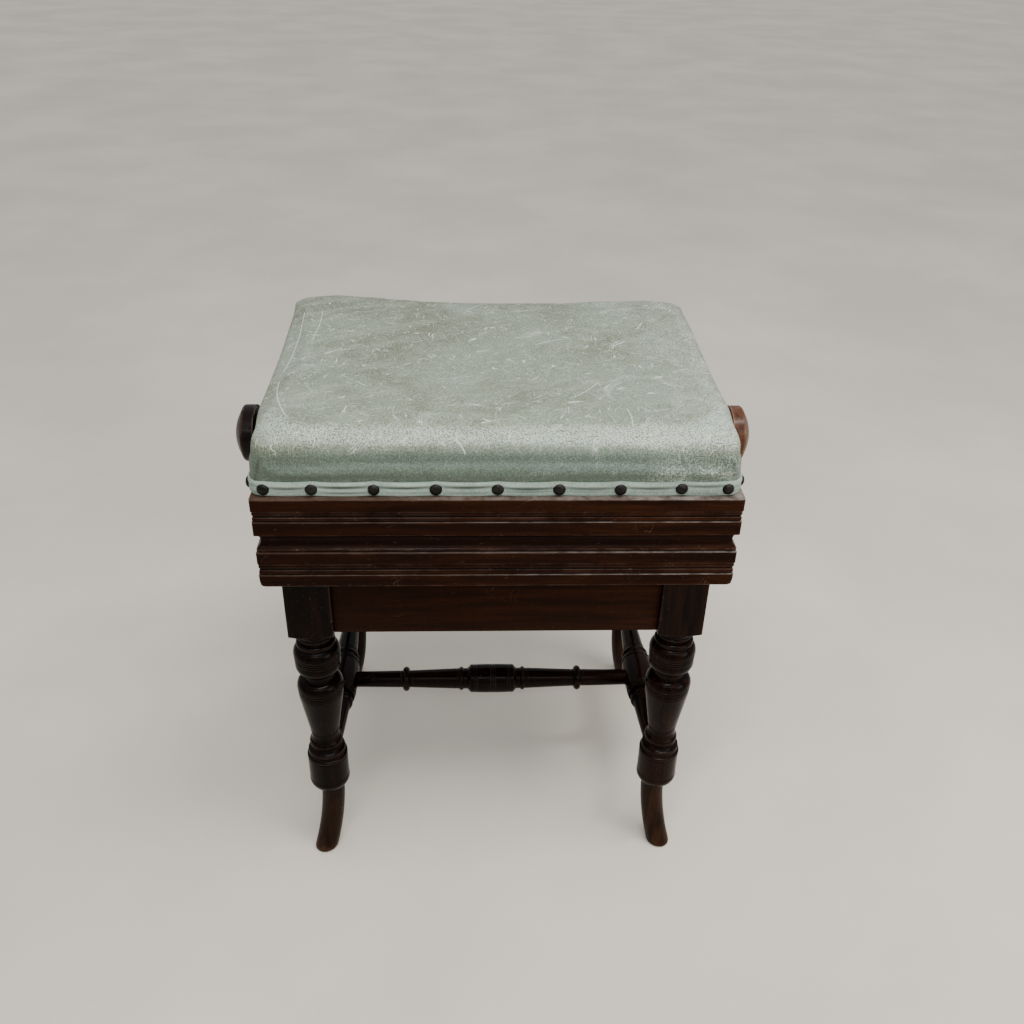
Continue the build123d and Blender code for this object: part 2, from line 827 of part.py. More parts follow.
# The left nut stands on the pair of arms that pivots on the right, and the other way round.
for name, sx, arm_y in (("left", -1, inner_arm_y), ("right", 1, outer_arm_y)):
    x = sx * nut_x
    trunnion_plane = Plane(origin=(x, 0, screw_height), x_dir=(1, 0, 0), z_dir=(0, 1, 0))
    washer_start = arm_y + arm_thickness / 2 + side_gap
    rivet_start = washer_start + washer_thickness
    with BuildPart() as nut:
        with Locations((x, 0, screw_height)):
            Box(nut_length, nut_width, nut_height)
        with BuildSketch(trunnion_plane):
            Circle(trunnion_radius)
        extrude(amount=arm_y - arm_thickness / 2 - side_gap, both=True)
        with BuildSketch(trunnion_plane):
            Circle(trunnion_pin_radius)
        extrude(amount=rivet_start, both=True)
        for end in (-1, 1):
            with BuildSketch(trunnion_plane.offset(end * rivet_start)):
                Circle(rivet_radius)
            extrude(amount=end * rivet_height)
        with BuildSketch(Plane(origin=(x, 0, screw_height), z_dir=(1, 0, 0))):
            Circle(screw_radius + nut_play)
        extrude(amount=nut_length, both=True, mode=Mode.SUBTRACT)
    nut.part.label = f"nut_{name}"
    export_step(nut.part, f"parts/nut_{name}.step")

    with BuildPart() as washers:
        for end in (-1, 1):
            with BuildSketch(trunnion_plane.offset(end * washer_start)):
                Circle(washer_radius)
                Circle(trunnion_pin_radius + joint_gap, mode=Mode.SUBTRACT)
            extrude(amount=end * washer_thickness)
    washers.part.label = f"nut_washers_{name}"
    export_step(washers.part, f"parts/nut_washers_{name}.step")

# ---- lift: screw, bushes, knobs and pins -------------------------------------------------

pin_direction = Vector(0, 1, 1).normalized()
pin_places = {
    "left": Vector(-knob_x - collar_length / 2, 0, screw_height),
    "right": Vector(knob_x + collar_length / 2, 0, screw_height),
}
middle_end = raised_nut_x - nut_length / 2 - stop_gap
with BuildPart() as screw:
    with BuildSketch(Plane(origin=(0, 0, screw_height), x_dir=(1, 0, 0), z_dir=(0, -1, 0))):
        with BuildLine():
            Polyline(
                (0, 0),
                (knob_x + spigot_length, 0),
                (knob_x + spigot_length, spigot_radius),
                (knob_x, spigot_radius),
                (knob_x, screw_radius),
                (middle_end, screw_radius),
                (middle_end, screw_middle_radius),
                (0, screw_middle_radius),
            )
            mirror(about=Plane.YZ)
        make_face()
    revolve(axis=Axis((0, 0, screw_height), (1, 0, 0)))
    for place in pin_places.values():
        with BuildSketch(Plane(origin=place, z_dir=pin_direction)):
            Circle(pin_radius + joint_gap / 2)
        extrude(amount=screw_radius, both=True, mode=Mode.SUBTRACT)
screw.part.label = "screw_shaft"
export_step(screw.part, "parts/screw_shaft.step")

for name, sx in (("left", -1), ("right", 1)):
    outward = Vector(sx, 0, 0)
    board_face = Plane(origin=(sx * box_width / 2, 0, screw_height), z_dir=outward)
    with BuildPart() as bush:
        with BuildSketch(board_face):
            Circle(bush_flange_radius)
        extrude(amount=bush_flange)
        with BuildSketch(board_face):
            Circle(bush_radius)
        extrude(amount=-board_thickness)
        with Locations(board_face):
            Hole(screw_radius + joint_gap)
    bush.part.label = f"bush_{name}"
    export_step(bush.part, f"parts/bush_{name}.step")

    # knob: beaded collar, hollow neck, flared back, rim and domed face
    knob_plane = Plane(
        origin=(sx * knob_x, 0, screw_height), x_dir=outward, z_dir=(0, -sx, 0)
    )
    neck_end = collar_length + knob_neck
    rim_start = neck_end + knob_flare
    rim_end = rim_start + knob_rim
    knob_end = rim_end + knob_dome
    # the domed face is part of a sphere whose centre is on the axis
    face_radius = knob_radius - knob_rim_rounding
    face_rise = knob_dome - knob_rim_rounding
    sphere_radius = (face_radius**2 + face_rise**2) / (2 * face_rise)
    face_centre = knob_end - sphere_radius
    with BuildPart() as knob:
        with BuildSketch(knob_plane):
            with BuildLine():
                Line((0, 0), (0, knob_neck_radius))
                ThreePointArc(
                    (0, knob_neck_radius),
                    (collar_length / 2, knob_collar_radius),
                    (collar_length, knob_neck_radius),
                )
                Line((collar_length, knob_neck_radius), (neck_end, knob_neck_radius))
                ThreePointArc(
                    (neck_end, knob_neck_radius),
                    (
                        rim_start - knob_flare * (1 - sqrt(0.5)),
                        knob_radius - (knob_radius - knob_neck_radius) * sqrt(0.5),
                    ),
                    (rim_start, knob_radius),
                )
                Line((rim_start, knob_radius), (rim_end, knob_radius))
                ThreePointArc(
                    (rim_end, knob_radius),
                    (
                        rim_end + knob_rim_rounding * sqrt(0.5),
                        knob_radius - knob_rim_rounding * (1 - sqrt(0.5)),
                    ),
                    (rim_end + knob_rim_rounding, knob_radius - knob_rim_rounding),
                )
                ThreePointArc(
                    (rim_end + knob_rim_rounding, face_radius),
                    (face_centre + sqrt(sphere_radius**2 - face_radius**2 / 4), face_radius / 2),
                    (knob_end, 0),
                )
                Line((knob_end, 0), (0, 0))
            make_face()
        revolve(axis=Axis((sx * knob_x, 0, screw_height), outward))
        with BuildSketch(Plane(origin=(sx * knob_x, 0, screw_height), z_dir=outward)):
            Circle(spigot_radius + joint_gap / 2)
        extrude(amount=spigot_length + end_gap, mode=Mode.SUBTRACT)
        with BuildSketch(Plane(origin=pin_places[name], z_dir=pin_direction)):
            Circle(pin_radius + joint_gap / 2)
        extrude(amount=knob_collar_radius, both=True, mode=Mode.SUBTRACT)
    knob.part.label = f"knob_{name}"
    export_step(knob.part, f"parts/knob_{name}.step")

with BuildPart() as pins:
    for place in pin_places.values():
        with BuildSketch(Plane(origin=place, z_dir=pin_direction)):
            Circle(pin_radius)
        extrude(amount=knob_collar_radius - pin_sink, both=True)
pins.part.label = "knob_pins"
export_step(pins.part, "parts/knob_pins.step")
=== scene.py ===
from math import cos, pi, radians, sin, sqrt

import bmesh
import bpy
import numpy as np
from mathutils import Matrix, Vector


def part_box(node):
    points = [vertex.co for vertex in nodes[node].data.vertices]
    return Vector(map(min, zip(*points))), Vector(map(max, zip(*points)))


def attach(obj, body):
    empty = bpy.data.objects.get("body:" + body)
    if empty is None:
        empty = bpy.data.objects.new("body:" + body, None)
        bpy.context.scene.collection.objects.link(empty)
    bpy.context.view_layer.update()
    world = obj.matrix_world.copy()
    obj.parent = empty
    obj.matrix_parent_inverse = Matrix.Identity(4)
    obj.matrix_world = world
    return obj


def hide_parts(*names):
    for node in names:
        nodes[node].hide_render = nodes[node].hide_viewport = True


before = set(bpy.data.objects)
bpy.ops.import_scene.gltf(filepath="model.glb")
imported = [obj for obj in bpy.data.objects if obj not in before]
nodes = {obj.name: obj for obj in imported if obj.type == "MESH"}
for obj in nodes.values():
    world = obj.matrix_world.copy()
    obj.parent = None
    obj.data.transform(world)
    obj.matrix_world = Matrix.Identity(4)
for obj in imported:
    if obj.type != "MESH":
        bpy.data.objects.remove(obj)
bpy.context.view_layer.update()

# A rise-and-fall piano stool with its seat down. Lengths in the outlines are millimetres.
scene = bpy.context.scene


# ---- camera, light and floor -------------------------------------------------------------
# The view looks down on the front from a little left of the middle. A long soft light hangs over
# the front, weaker ones stand in front and at the right, and the floor is plain and pale.

picture_width = 1024
focal_length = 999.8  # in pixels of that width
sensor_width = 36
eye = Vector((-0.0259, -0.9376, 0.9515))
turned_right, tipped_down, rolled = 0.04895, 0.56073, -0.02427

ahead = Vector((
    sin(turned_right) * cos(tipped_down), cos(turned_right) * cos(tipped_down), -sin(tipped_down)
))
level = Vector((cos(turned_right), -sin(turned_right), 0))
below = ahead.cross(level)
picture_right = cos(rolled) * level + sin(rolled) * below
picture_down = cos(rolled) * below - sin(rolled) * level
camera = bpy.data.objects.new("camera", bpy.data.cameras.new("camera"))
camera.data.sensor_width = sensor_width
camera.data.lens = focal_length / picture_width * sensor_width
camera.data.clip_start = 0.02
axes = Matrix((picture_right, -picture_down, -ahead)).transposed()
camera.matrix_world = Matrix.Translation(eye) @ axes.to_4x4()
scene.collection.objects.link(camera)
scene.camera = camera


def soft_light(name, place, aim, width, height, power, colour):
    """A rectangular lamp at a place, turned to face its aim."""
    lamp = bpy.data.objects.new(name, bpy.data.lights.new(name, "AREA"))
    lamp.data.shape = "RECTANGLE"
    lamp.data.size = width
    lamp.data.size_y = height
    lamp.data.energy = power
    lamp.data.color = colour
    lamp.location = place
    lamp.rotation_euler = (Vector(aim) - Vector(place)).to_track_quat("-Z", "Y").to_euler()
    scene.collection.objects.link(lamp)


soft_light("overhead", (0.35, -0.6, 2.1), (0, -0.05, 0.3), 1.8, 0.16, 30, (1, 0.985, 0.96))
soft_light("front_strip", (0.1, -1.7, 1.75), (0, 0, 0.35), 2.4, 0.07, 9, (0.95, 0.98, 1))
soft_light("right_fill", (1.7, -1.3, 1.1), (0, 0, 0.3), 1.0, 1.0, 13, (1, 0.97, 0.93))
scene.world = bpy.data.worlds.new("room")
scene.world.use_nodes = True
room = scene.world.node_tree
direction = room.nodes.new("ShaderNodeTexCoord").outputs["Generated"]
upwards = room.nodes.new("ShaderNodeSeparateXYZ")
room.links.new(direction, upwards.inputs["Vector"])
brightness = room.nodes.new("ShaderNodeMapRange")
brightness.inputs["To Min"].default_value = 0.42
brightness.inputs["To Max"].default_value = 1.0
room.links.new(upwards.outputs["Z"], brightness.inputs["Value"])
room.links.new(brightness.outputs["Result"], room.nodes["Background"].inputs["Strength"])
room.nodes["Background"].inputs["Color"].default_value = (0.93, 0.96, 1, 1)


class Wire:
    """One socket of a material. Sums written with it add Math nodes."""

    def __init__(self, tree, socket):
        self.tree = tree
        self.socket = socket

    def node(self, kind, settings, inputs, output=0):
        """Adds a node of any kind: its settings first, then its sockets' values or wires."""
        made = self.tree.nodes.new("ShaderNode" + kind)
        for name, value in settings.items():
            setattr(made, name, value)
        for name, value in inputs.items():
            if isinstance(value, Wire):
                self.tree.links.new(value.socket, made.inputs[name])
            else:
                made.inputs[name].default_value = value
        return Wire(self.tree, made.outputs[output])

    def math(self, operation, first, second=0.0):
        return self.node("Math", {"operation": operation}, {0: first, 1: second})

    def __add__(self, other):
        return self.math("ADD", self, other)

    def __radd__(self, other):
        return self.math("ADD", other, self)

    def __sub__(self, other):
        return self.math("SUBTRACT", self, other)

    def __rsub__(self, other):
        return self.math("SUBTRACT", other, self)

    def __mul__(self, other):
        return self.math("MULTIPLY", self, other)

    def __rmul__(self, other):
        return self.math("MULTIPLY", other, self)

    def __truediv__(self, other):
        return self.math("DIVIDE", self, other)

    def __abs__(self):
        return self.math("ABSOLUTE", self)


def noise(place, scale, detail=3.0, roughness=0.55, distortion=0.0):
    """Smooth random value, about 0.5, that changes over 1 / scale of a metre."""
    sizes = {"Scale": scale, "Detail": detail, "Roughness": roughness, "Distortion": distortion}
    return place.node("TexNoise", {}, {"Vector": place, **sizes})


def stretched(place, scale, turn=(0.0, 0.0, 0.0), shift=(0.0, 0.0, 0.0)):
    """The place moved, turned and then scaled, so that a pattern on it draws out one way."""
    inputs = {"Vector": place, "Location": shift, "Rotation": turn}
    inputs["Scale"] = [1 / times for times in scale]
    return place.node("Mapping", {"vector_type": "TEXTURE"}, inputs)


def between(value, low, high):
    """0 below low, 1 above high, and a smooth step from one to the other."""
    inputs = {"Value": value, "From Min": low, "From Max": high}
    return value.node("MapRange", {"interpolation_type": "SMOOTHSTEP"}, inputs)


def mixed(factor, first, second):
    """The first colour where the factor is 0 and the second where it is 1."""
    first, second = (c if isinstance(c, Wire) else (*c, 1) for c in (first, second))
    return factor.node("Mix", {"data_type": "RGBA"}, {0: factor, 6: first, 7: second}, 2)


def bumped(height, depth, under=None):
    """A surface direction with that height, in metres, laid over another one."""
    inputs = {"Height": height, "Distance": depth, "Strength": 1.0}
    if under:
        inputs["Normal"] = under
    return height.node("Bump", {}, inputs)


def painted(place, name):
    """A value that the mesh holds at its points."""
    return place.node("Attribute", {"attribute_name": name}, {}, "Fac")


def share_along(vector, axis):
    """One coordinate of a vector: axis is X, Y or Z."""
    return vector.node("SeparateXYZ", {}, {"Vector": vector}, axis)


def layered(colour, *layers):
    """A colour with others laid over it in turn, each given as (how much of it shows, it)."""
    for share, over in layers:
        colour = mixed(share, colour, over)
    return colour


def new_finish(name, constants):
    """A new material, with constants on its shader: it, the place on the piece, the shader."""
    finish = bpy.data.materials.new(name)
    finish.use_nodes = True
    tree = finish.node_tree
    shader = tree.nodes["Principled BSDF"]
    for socket, value in constants.items():
        shader.inputs[socket].default_value = value
    coordinates = tree.nodes.new("ShaderNodeTexCoord")
    return finish, Wire(tree, coordinates.outputs["Object"]), shader


def drive(shader, **wires):
    """Joins wires to the shader's sockets: base_color, roughness, metallic or normal."""
    for name, wire in wires.items():
        wire.tree.links.new(wire.socket, shader.inputs[name.replace("_", " ").title()])


floor_reach = 14
floor_finish, place, shader = new_finish("pale_floor", {"Specular IOR Level": 0.2})
cloud = noise(place, 2.2, 4)
grit = noise(place, 160, 3)
drive(
    shader,
    base_color=mixed(between(cloud, 0.3, 0.75), (0.68, 0.615, 0.52), (0.78, 0.715, 0.615)),
    roughness=0.75 + 0.2 * grit,
    normal=bumped(grit, 0.0004),
)
ground = bpy.data.meshes.new("floor")
corners = ((-1, -1), (1, -1), (1, 1), (-1, 1))
ground.from_pydata([(sx * floor_reach, sy * floor_reach, 0) for sx, sy in corners], [], [(0, 1, 2, 3)])
floor = bpy.data.objects.new("floor", ground)
floor.data.materials.append(floor_finish)
scene.collection.objects.link(floor)


# ---- legs --------------------------------------------------------------------------------
# Four mahogany legs, each turned from one thick square whose top was then planed to a narrower
# block. The block's lower corners run into a cove, and below it are two beads, a broad ring, a
# vase, a collar and a drum, which holds the foot's dowel.


def millimetres(node):
    """Lowest and highest corner of a made piece, in millimetres."""
    return tuple(np.array(corner) * 1000 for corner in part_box(node))


def arc(start, middle, end, count=15):
    """Points of the circle through three points, walked from the first to the last. Its centre
    is as far from each of them."""
    corners = np.array((start, middle, end), float)
    square = (corners**2).sum(1)
    spread = 2 * np.array((corners[1] - corners[0], corners[2] - corners[0]))
    centre = np.linalg.solve(spread, (square[1] - square[0], square[2] - square[0]))
    rays = corners - centre
    turns = np.unwrap(np.arctan2(rays[:, 1], rays[:, 0]))
    turn = np.linspace(turns[0], turns[2], count)[:, None]
    return centre + np.hypot(*rays[0]) * np.hstack((np.cos(turn), np.sin(turn)))


def blurred(line, spread):
    """Each point becomes a bell-weighted mean of its neighbours; spread is the bell's width in
    points. Both ends stay where they are."""
    reach = int(np.ceil(3 * spread))
    weights = np.exp(-0.5 * (np.arange(-reach, reach + 1) / spread) ** 2)
    weights /= weights.sum()
    longer = np.pad(line, ((reach, reach), (0, 0)), mode="reflect", reflect_type="odd")
    return np.column_stack([np.convolve(c, weights, "valid") for c in longer.T])


def worn_outline(stretches, step, rounding):
    """Stretches laid end to end, walked in even steps, with every arris rounded."""
    points = np.vstack(stretches).astype(float)
    gaps = np.hypot(*np.diff(points, axis=0).T)
    points = points[np.r_[True, gaps > 1e-6]]
    along = np.r_[0, np.cumsum(gaps[gaps > 1e-6])]
    even = np.linspace(0, along[-1], int(along[-1] / step) + 1)
    line = np.column_stack([np.interp(even, along, c) for c in points.T])
    return blurred(line, rounding / step)


def ramp(value, low, high):
    """0 below low, 1 above high, and straight from one to the other."""
    return np.clip((value - low) / (high - low), 0, 1)


def bell(offset, width):
    """exp(-(offset / width)^2): 1 in the middle, and falling to nothing on both sides."""
    return np.exp(-((offset / width) ** 2))


def worn_and_grimy(line, step, column=1):
    """How far each point of an outline stands out from its neighbourhood, as wear, or lies
    back in it, as grime, both from 0 to 1."""
    neighbourhood, most_wear, most_grime = 2.2, 0.7, 0.9
    relief = line[:, column] - blurred(line, neighbourhood / step)[:, column]
    return ramp(relief, 0, most_wear), ramp(-relief, 0, most_grime)


def ripple(points, length, seed):
    """A few plane waves of about that length in random directions, summed, from -1 to 1."""
    draw = np.random.default_rng(seed)
    total = 0
    for _ in range(5):
        direction = draw.normal(size=3)
        direction *= draw.uniform(0.7, 1.4) * 2 * pi / (length * np.linalg.norm(direction))
        total = total + np.sin(points @ direction + draw.uniform(0, 2 * pi))
    return total / 5


def skin(name, points, paint=None, closed=True, ring=False, caps=True):
    """Mesh over a grid of points (rows, columns), or over many such grids. closed joins the last
    column to the first, ring the last row to the first, and caps closes both end rows. Each
    array in paint, one number a point, becomes an attribute."""
    number = np.arange(points[..., 0].size).reshape(points.shape[:-1])
    tall = np.concatenate((number, number[..., :1, :]), axis=-2) if ring else number
    wide = np.concatenate((tall, tall[..., :1]), axis=-1) if closed else tall
    quads = (wide[..., :-1, :-1], wide[..., :-1, 1:], wide[..., 1:, 1:], wide[..., 1:, :-1])
    faces = np.stack(quads, axis=-1).reshape(-1, 4).tolist()
    if caps and not ring:
        faces += number[..., 0, ::-1].reshape(-1, number.shape[-1]).tolist()
        faces += number[..., -1, :].reshape(-1, number.shape[-1]).tolist()
    mesh = bpy.data.meshes.new(name)
    mesh.from_pydata((points.reshape(-1, 3) / 1000).tolist(), [], faces)
    for key, values in (paint or {}).items():
        held = mesh.attributes.new(key, "FLOAT", "POINT")
        spread = np.broadcast_to(values, points.shape[:-1])
        held.data.foreach_set("value", spread.ravel().astype(np.float32))
    mesh.shade_smooth()
    mesh.set_sharp_from_angle(angle=radians(50))
    piece = bpy.data.objects.new(name, mesh)
    scene.collection.objects.link(piece)
    return piece


def fitted(piece, finish, body, slot, *stands_for):
    """Gives a piece its finish and its body, and hides the plain nodes that it stands for."""
    piece.data.materials.clear()
    piece.data.materials.append(finish)
    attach(piece, body)
    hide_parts(*stands_for)


def turned_points(rise, radius, angles, origin, axis):
    """Points round an axis: at each rise along it, that radius at each angle about it."""
    axis = np.array(axis, float)
    side = np.array((1.0, 0, 0)) if abs(axis[0]) < 0.5 else np.array((0, 1.0, 0))
    other = np.cross(axis, side)
    ring = np.cos(angles)[:, None] * side + np.sin(angles)[:, None] * other
    radius = np.broadcast_to(radius, (len(rise), len(angles)))
    return np.array(origin) + rise[:, None, None] * axis + radius[..., None] * ring


turning_step, turning_rounding = 0.55, 0.35


def scribed(line, places):
    """Fine lines cut into a turning, each a bell-shaped dip in the radius with a lip above it.
    Returns the turning's wear and painted highlight, most of all on the lips, and its grime and
    painted shade, most of all in the cuts."""
    depth, cut_width, lip_width, lip_above = 0.45, 0.55, 0.5, 1.25
    from_cut = line[:, :1] - np.array(places, float)
    cut = bell(from_cut, cut_width).max(1)
    lip = bell(from_cut - lip_above, lip_width).max(1)
    line[:, 1] += depth * (0.5 * lip - cut)
    wear, grime = worn_and_grimy(line, turning_step)
    return np.maximum(0.6 * wear, 0.9 * lip), np.maximum(grime, cut)


def polished_wood(name, grain, deep, warm, rubbed, gloss, shine, dust_and_sheen_amount=0.0):
    """Waxed polish over dark-stained mahogany. Slow streaks and fine pores draw out along the
    grain, rubbed wood and painted highlights show on the arrises and lips, and wax and dirt with
    painted shade darken the quirks and cuts. The polish has faded redder towards the right, and
    the faces that look up are painted paler, dusty and with a painted sheen."""
    finish, place, shader = new_finish(name, {"Specular IOR Level": shine})
    draw_out = {"X": (1, 15, 15), "Y": (15, 1, 15), "Z": (15, 15, 1)}[grain]
    fibres = stretched(place, draw_out)
    figure = between(noise(fibres, 8, 5, 0.6, 0.4), 0.32, 0.7)
    pores = between(noise(fibres, 95, 2, 0.5), 0.56, 0.7)
    blotch = between(noise(place, 11, 4, 0.6), 0.3, 0.72)
    specks = between(noise(place, 330, 2, 0.6), 0.66, 0.71)
    faded = between(share_along(place, "X"), -0.26, 0.26)
    wear = painted(place, "wear")
    grime = painted(place, "grime")
    patchy = between(noise(place, 38, 4, 0.65), 0.38, 0.62)
    edge = between(wear * (0.6 + 0.5 * patchy), 0.2, 0.9)
    slanted = stretched(place, (1, 5, 3), (0.3, 0.5, 0.9))
    scuff = 1 - between(abs(noise(slanted, 24, 1) - 0.5), 0, 0.006)
    scuff = scuff * between(noise(place, 30, 2), 0.6, 0.68)
    wood = layered(
        mixed(figure * (0.1 + 0.35 * blotch + 0.55 * faded), deep, warm),
        (pores * 0.6, [c * 0.25 for c in deep]),
        # grime darkens the quirks and cuts, partly as dirt and partly as painted shade, and the rubbed
        # colour lightens the arrises and lips, partly as wear and partly as a painted highlight
        (grime * 0.85, (0.0012, 0.0007, 0.0005)),
        (edge * 0.6, rubbed),
        (between(scuff + specks * (0.35 + edge), 0, 1) * 0.45, [c * 2 + 0.03 for c in rubbed]),
    )
    # the faces that look up are painted paler, partly as dust and partly as a painted sheen
    if dust_and_sheen_amount:
        normal = place.node("NewGeometry", {}, {}, "Normal")
        upward = between(share_along(normal, "Z"), 0.75, 1)
        drifts = 0.35 + 0.65 * between(noise(place, 75, 4, 0.7), 0.35, 0.65)
        dust_and_sheen_colour = mixed(faded * drifts, (0.085, 0.052, 0.036), (0.26, 0.225, 0.20))
        wood = mixed(upward * (0.5 + 0.5 * drifts) * dust_and_sheen_amount, wood, dust_and_sheen_colour)
    drive(
        shader,
        base_color=wood,
        roughness=gloss + 0.07 * blotch + 0.15 * edge + 0.25 * grime + 0.1 * pores,
        normal=bumped(figure * 0.4 - pores * 0.25 - scuff * 0.6, 0.00006, bumped(blotch, 0.0003)),
    )
    return finish


leg_colours = ((0.0016, 0.0006, 0.0003), (0.018, 0.0058, 0.0024), (0.040, 0.026, 0.020))
leg_finish = polished_wood("leg_mahogany", "Z", *leg_colours, 0.14, 0.06)

# heights of the turned members above the floor, and their radii
foot_top, drum_foot, drum_top, step_top = 95, 109, 143, 150
collar_foot, collar_top, vase_foot, vase_shoulder, vase_top = 155.7, 165.1, 170.4, 228.4, 250.7
ring_foot, ring_top, bead_top, block_foot, leg_top = 258.4, 294, 300.5, 308.5, 485.2
ring_round, ring_tuck, thin_bead, thin_bead_top = 11.5, 14, 303, 307.4
foot_seat, drum, drum_step, collar, collar_quirk = 16.2, 21.6, 19.8, 17.6, 15.3
vase_neck, shoulder, ring, ring_quirk, neck, bead = 14.3, 23.2, 23.7, 18.6, 16, 20.1
half_block, cove, cove_start, splay, step_chamfer = 22.5, 8.5, 18.4, 2.5, 0.8
block_rounding, leg_wave = 1.1, 0.12
half_sine = sqrt(0.5)


def swept(start, end, tangent_first):
    """A quarter ellipse between two points of an outline, as the arc through its middle. It
    starts along the axis if tangent_first, and otherwise ends along it."""
    (z0, r0), (z1, r1) = start, end
    near, far = (half_sine, 1 - half_sine) if tangent_first else (1 - half_sine, half_sine)
    return arc(start, (z0 + (z1 - z0) * near, r0 + (r1 - r0) * far), end)


def bead_arc(low, high, quirk, crest):
    """A bead between two places on an outline: an arc from the quirk's radius to the crest's."""
    return arc((low, quirk), ((low + high) / 2, crest), (high, quirk))


leg_line = worn_outline(
    [
        swept((foot_top, foot_seat), (drum_foot, drum), False),
        [(drum_foot, drum), (drum_top - step_chamfer, drum), (drum_top, drum_step)],
        [(drum_top, drum_step), (step_top, drum_step)],
        swept((step_top, drum_step), (collar_foot, collar_quirk), False),
        bead_arc(collar_foot, collar_top, collar_quirk, collar),
        [(collar_top, collar_quirk), (vase_foot, vase_neck), (vase_shoulder, shoulder)],
        [(vase_shoulder, shoulder), (vase_top - ring_round, ring)],
        swept((vase_top - ring_round, ring), (vase_top, neck), True),
        [(vase_top, neck), (ring_foot, neck)],
        swept((ring_foot, neck), (ring_foot + ring_tuck, shoulder), False),
        [(ring_foot + ring_tuck, shoulder), (ring_top - ring_round, ring)],
        swept((ring_top - ring_round, ring), (ring_top, ring_quirk), True),
        arc((ring_top, ring_quirk), ((ring_top + bead_top) / 2, bead), (bead_top, neck)),
        [(bead_top, neck), (thin_bead, neck)],
        bead_arc(thin_bead, thin_bead_top, neck, neck + 2),
        [(thin_bead_top, neck), (block_foot, neck)],
    ],
    turning_step,
    turning_rounding,
)
leg_wear_and_highlight, leg_grime_and_shade = scribed(leg_line, (139, 146.5, 174, 177.5, 235, 238.5, 274, 277, 280, 283))


def rounded_square(angles, half, rounding):
    """Distance to a square with rounded corners: half / cos of the angle from a face's middle,
    and at a corner the far crossing with the corner's own small circle."""
    turn = np.abs((angles + pi / 4) % (pi / 2) - pi / 4)
    flat = half / np.cos(turn)
    inner = half - rounding
    reach = inner * (np.cos(turn) + np.sin(turn))
    round_part = reach + np.sqrt(np.maximum(rounding**2 - 2 * inner**2 + reach**2, 0))
    return np.where(half * np.tan(turn) > inner, round_part, flat)


corner_turn = np.degrees(np.arctan((half_block - block_rounding) / half_block))
face_turns = np.linspace(-corner_turn, corner_turn, 18)
quarter = np.r_[face_turns, np.linspace(corner_turn, 90 - corner_turn, 6)[1:-1]]
leg_angles = np.radians((quarter[None, :] + np.arange(0, 360, 90)[:, None]).ravel())
cove_end = block_foot + 15  # rings lie close together up to here
block_line = np.r_[
    np.arange(block_foot, cove_end, turning_step), np.linspace(cove_end + 3.5, leg_top, 24)
]
in_cove = np.clip(block_line - block_foot, 0, cove)
cove_radius = cove_start + cove - np.sqrt(cove**2 - in_cove**2)
cove_radius += np.maximum(block_line - block_foot - cove, 0) * cove / splay
square = rounded_square(leg_angles, half_block, block_rounding)
block_radius = np.minimum(cove_radius[:, None], square[None, :])
arris = bell(np.abs((leg_angles + pi / 4) % (pi / 2) - pi / 4) - pi / 4, 0.035)
cove_edge = bell(block_line - block_foot - cove, 1.2)

leg_rise = np.r_[leg_line[:, 0], block_line]
leg_radius = np.vstack((np.repeat(leg_line[:, 1:], len(leg_angles), 1), block_radius))
leg_paint_wear_and_highlight = np.vstack((
    np.repeat(leg_wear_and_highlight[:, None], len(leg_angles), 1),
    np.maximum(arris[None, :] * 0.8, cove_edge[:, None] * 0.5),
))
leg_paint_grime_and_shade = np.r_[leg_grime_and_shade, 1 - ramp(block_line, block_foot, block_foot + 5)][:, None]
leg_places = {}
for corner in ("front_left", "front_right", "back_left", "back_right"):
    low, high = millimetres(f"leg_{corner}")
    x, y = (low + high)[:2] / 2
    leg_places[corner] = (x, y)
    leg_points = turned_points(leg_rise, leg_radius, leg_angles, (x, y, 0), (0, 0, 1))
    outward = turned_points(leg_rise * 0, 1, leg_angles, (0, 0, 0), (0, 0, 1))
    leg_points += outward * leg_wave * ripple(leg_points, 35, 3)[..., None]
    leg_points[-1, :, 2] = high[2]
    leg = skin(f"turned_leg_{corner}", leg_points, {"wear": leg_paint_wear_and_highlight, "grime": leg_paint_grime_and_shade})
    fitted(leg, leg_finish, "base", "mahogany", f"leg_{corner}")


# ---- feet --------------------------------------------------------------------------------
# A round foot dowelled under each drum. It leaves the drum straight down, swings outwards along
# the diagonal on one long arc, and ends in a toe that shoes and floors have rubbed bare.

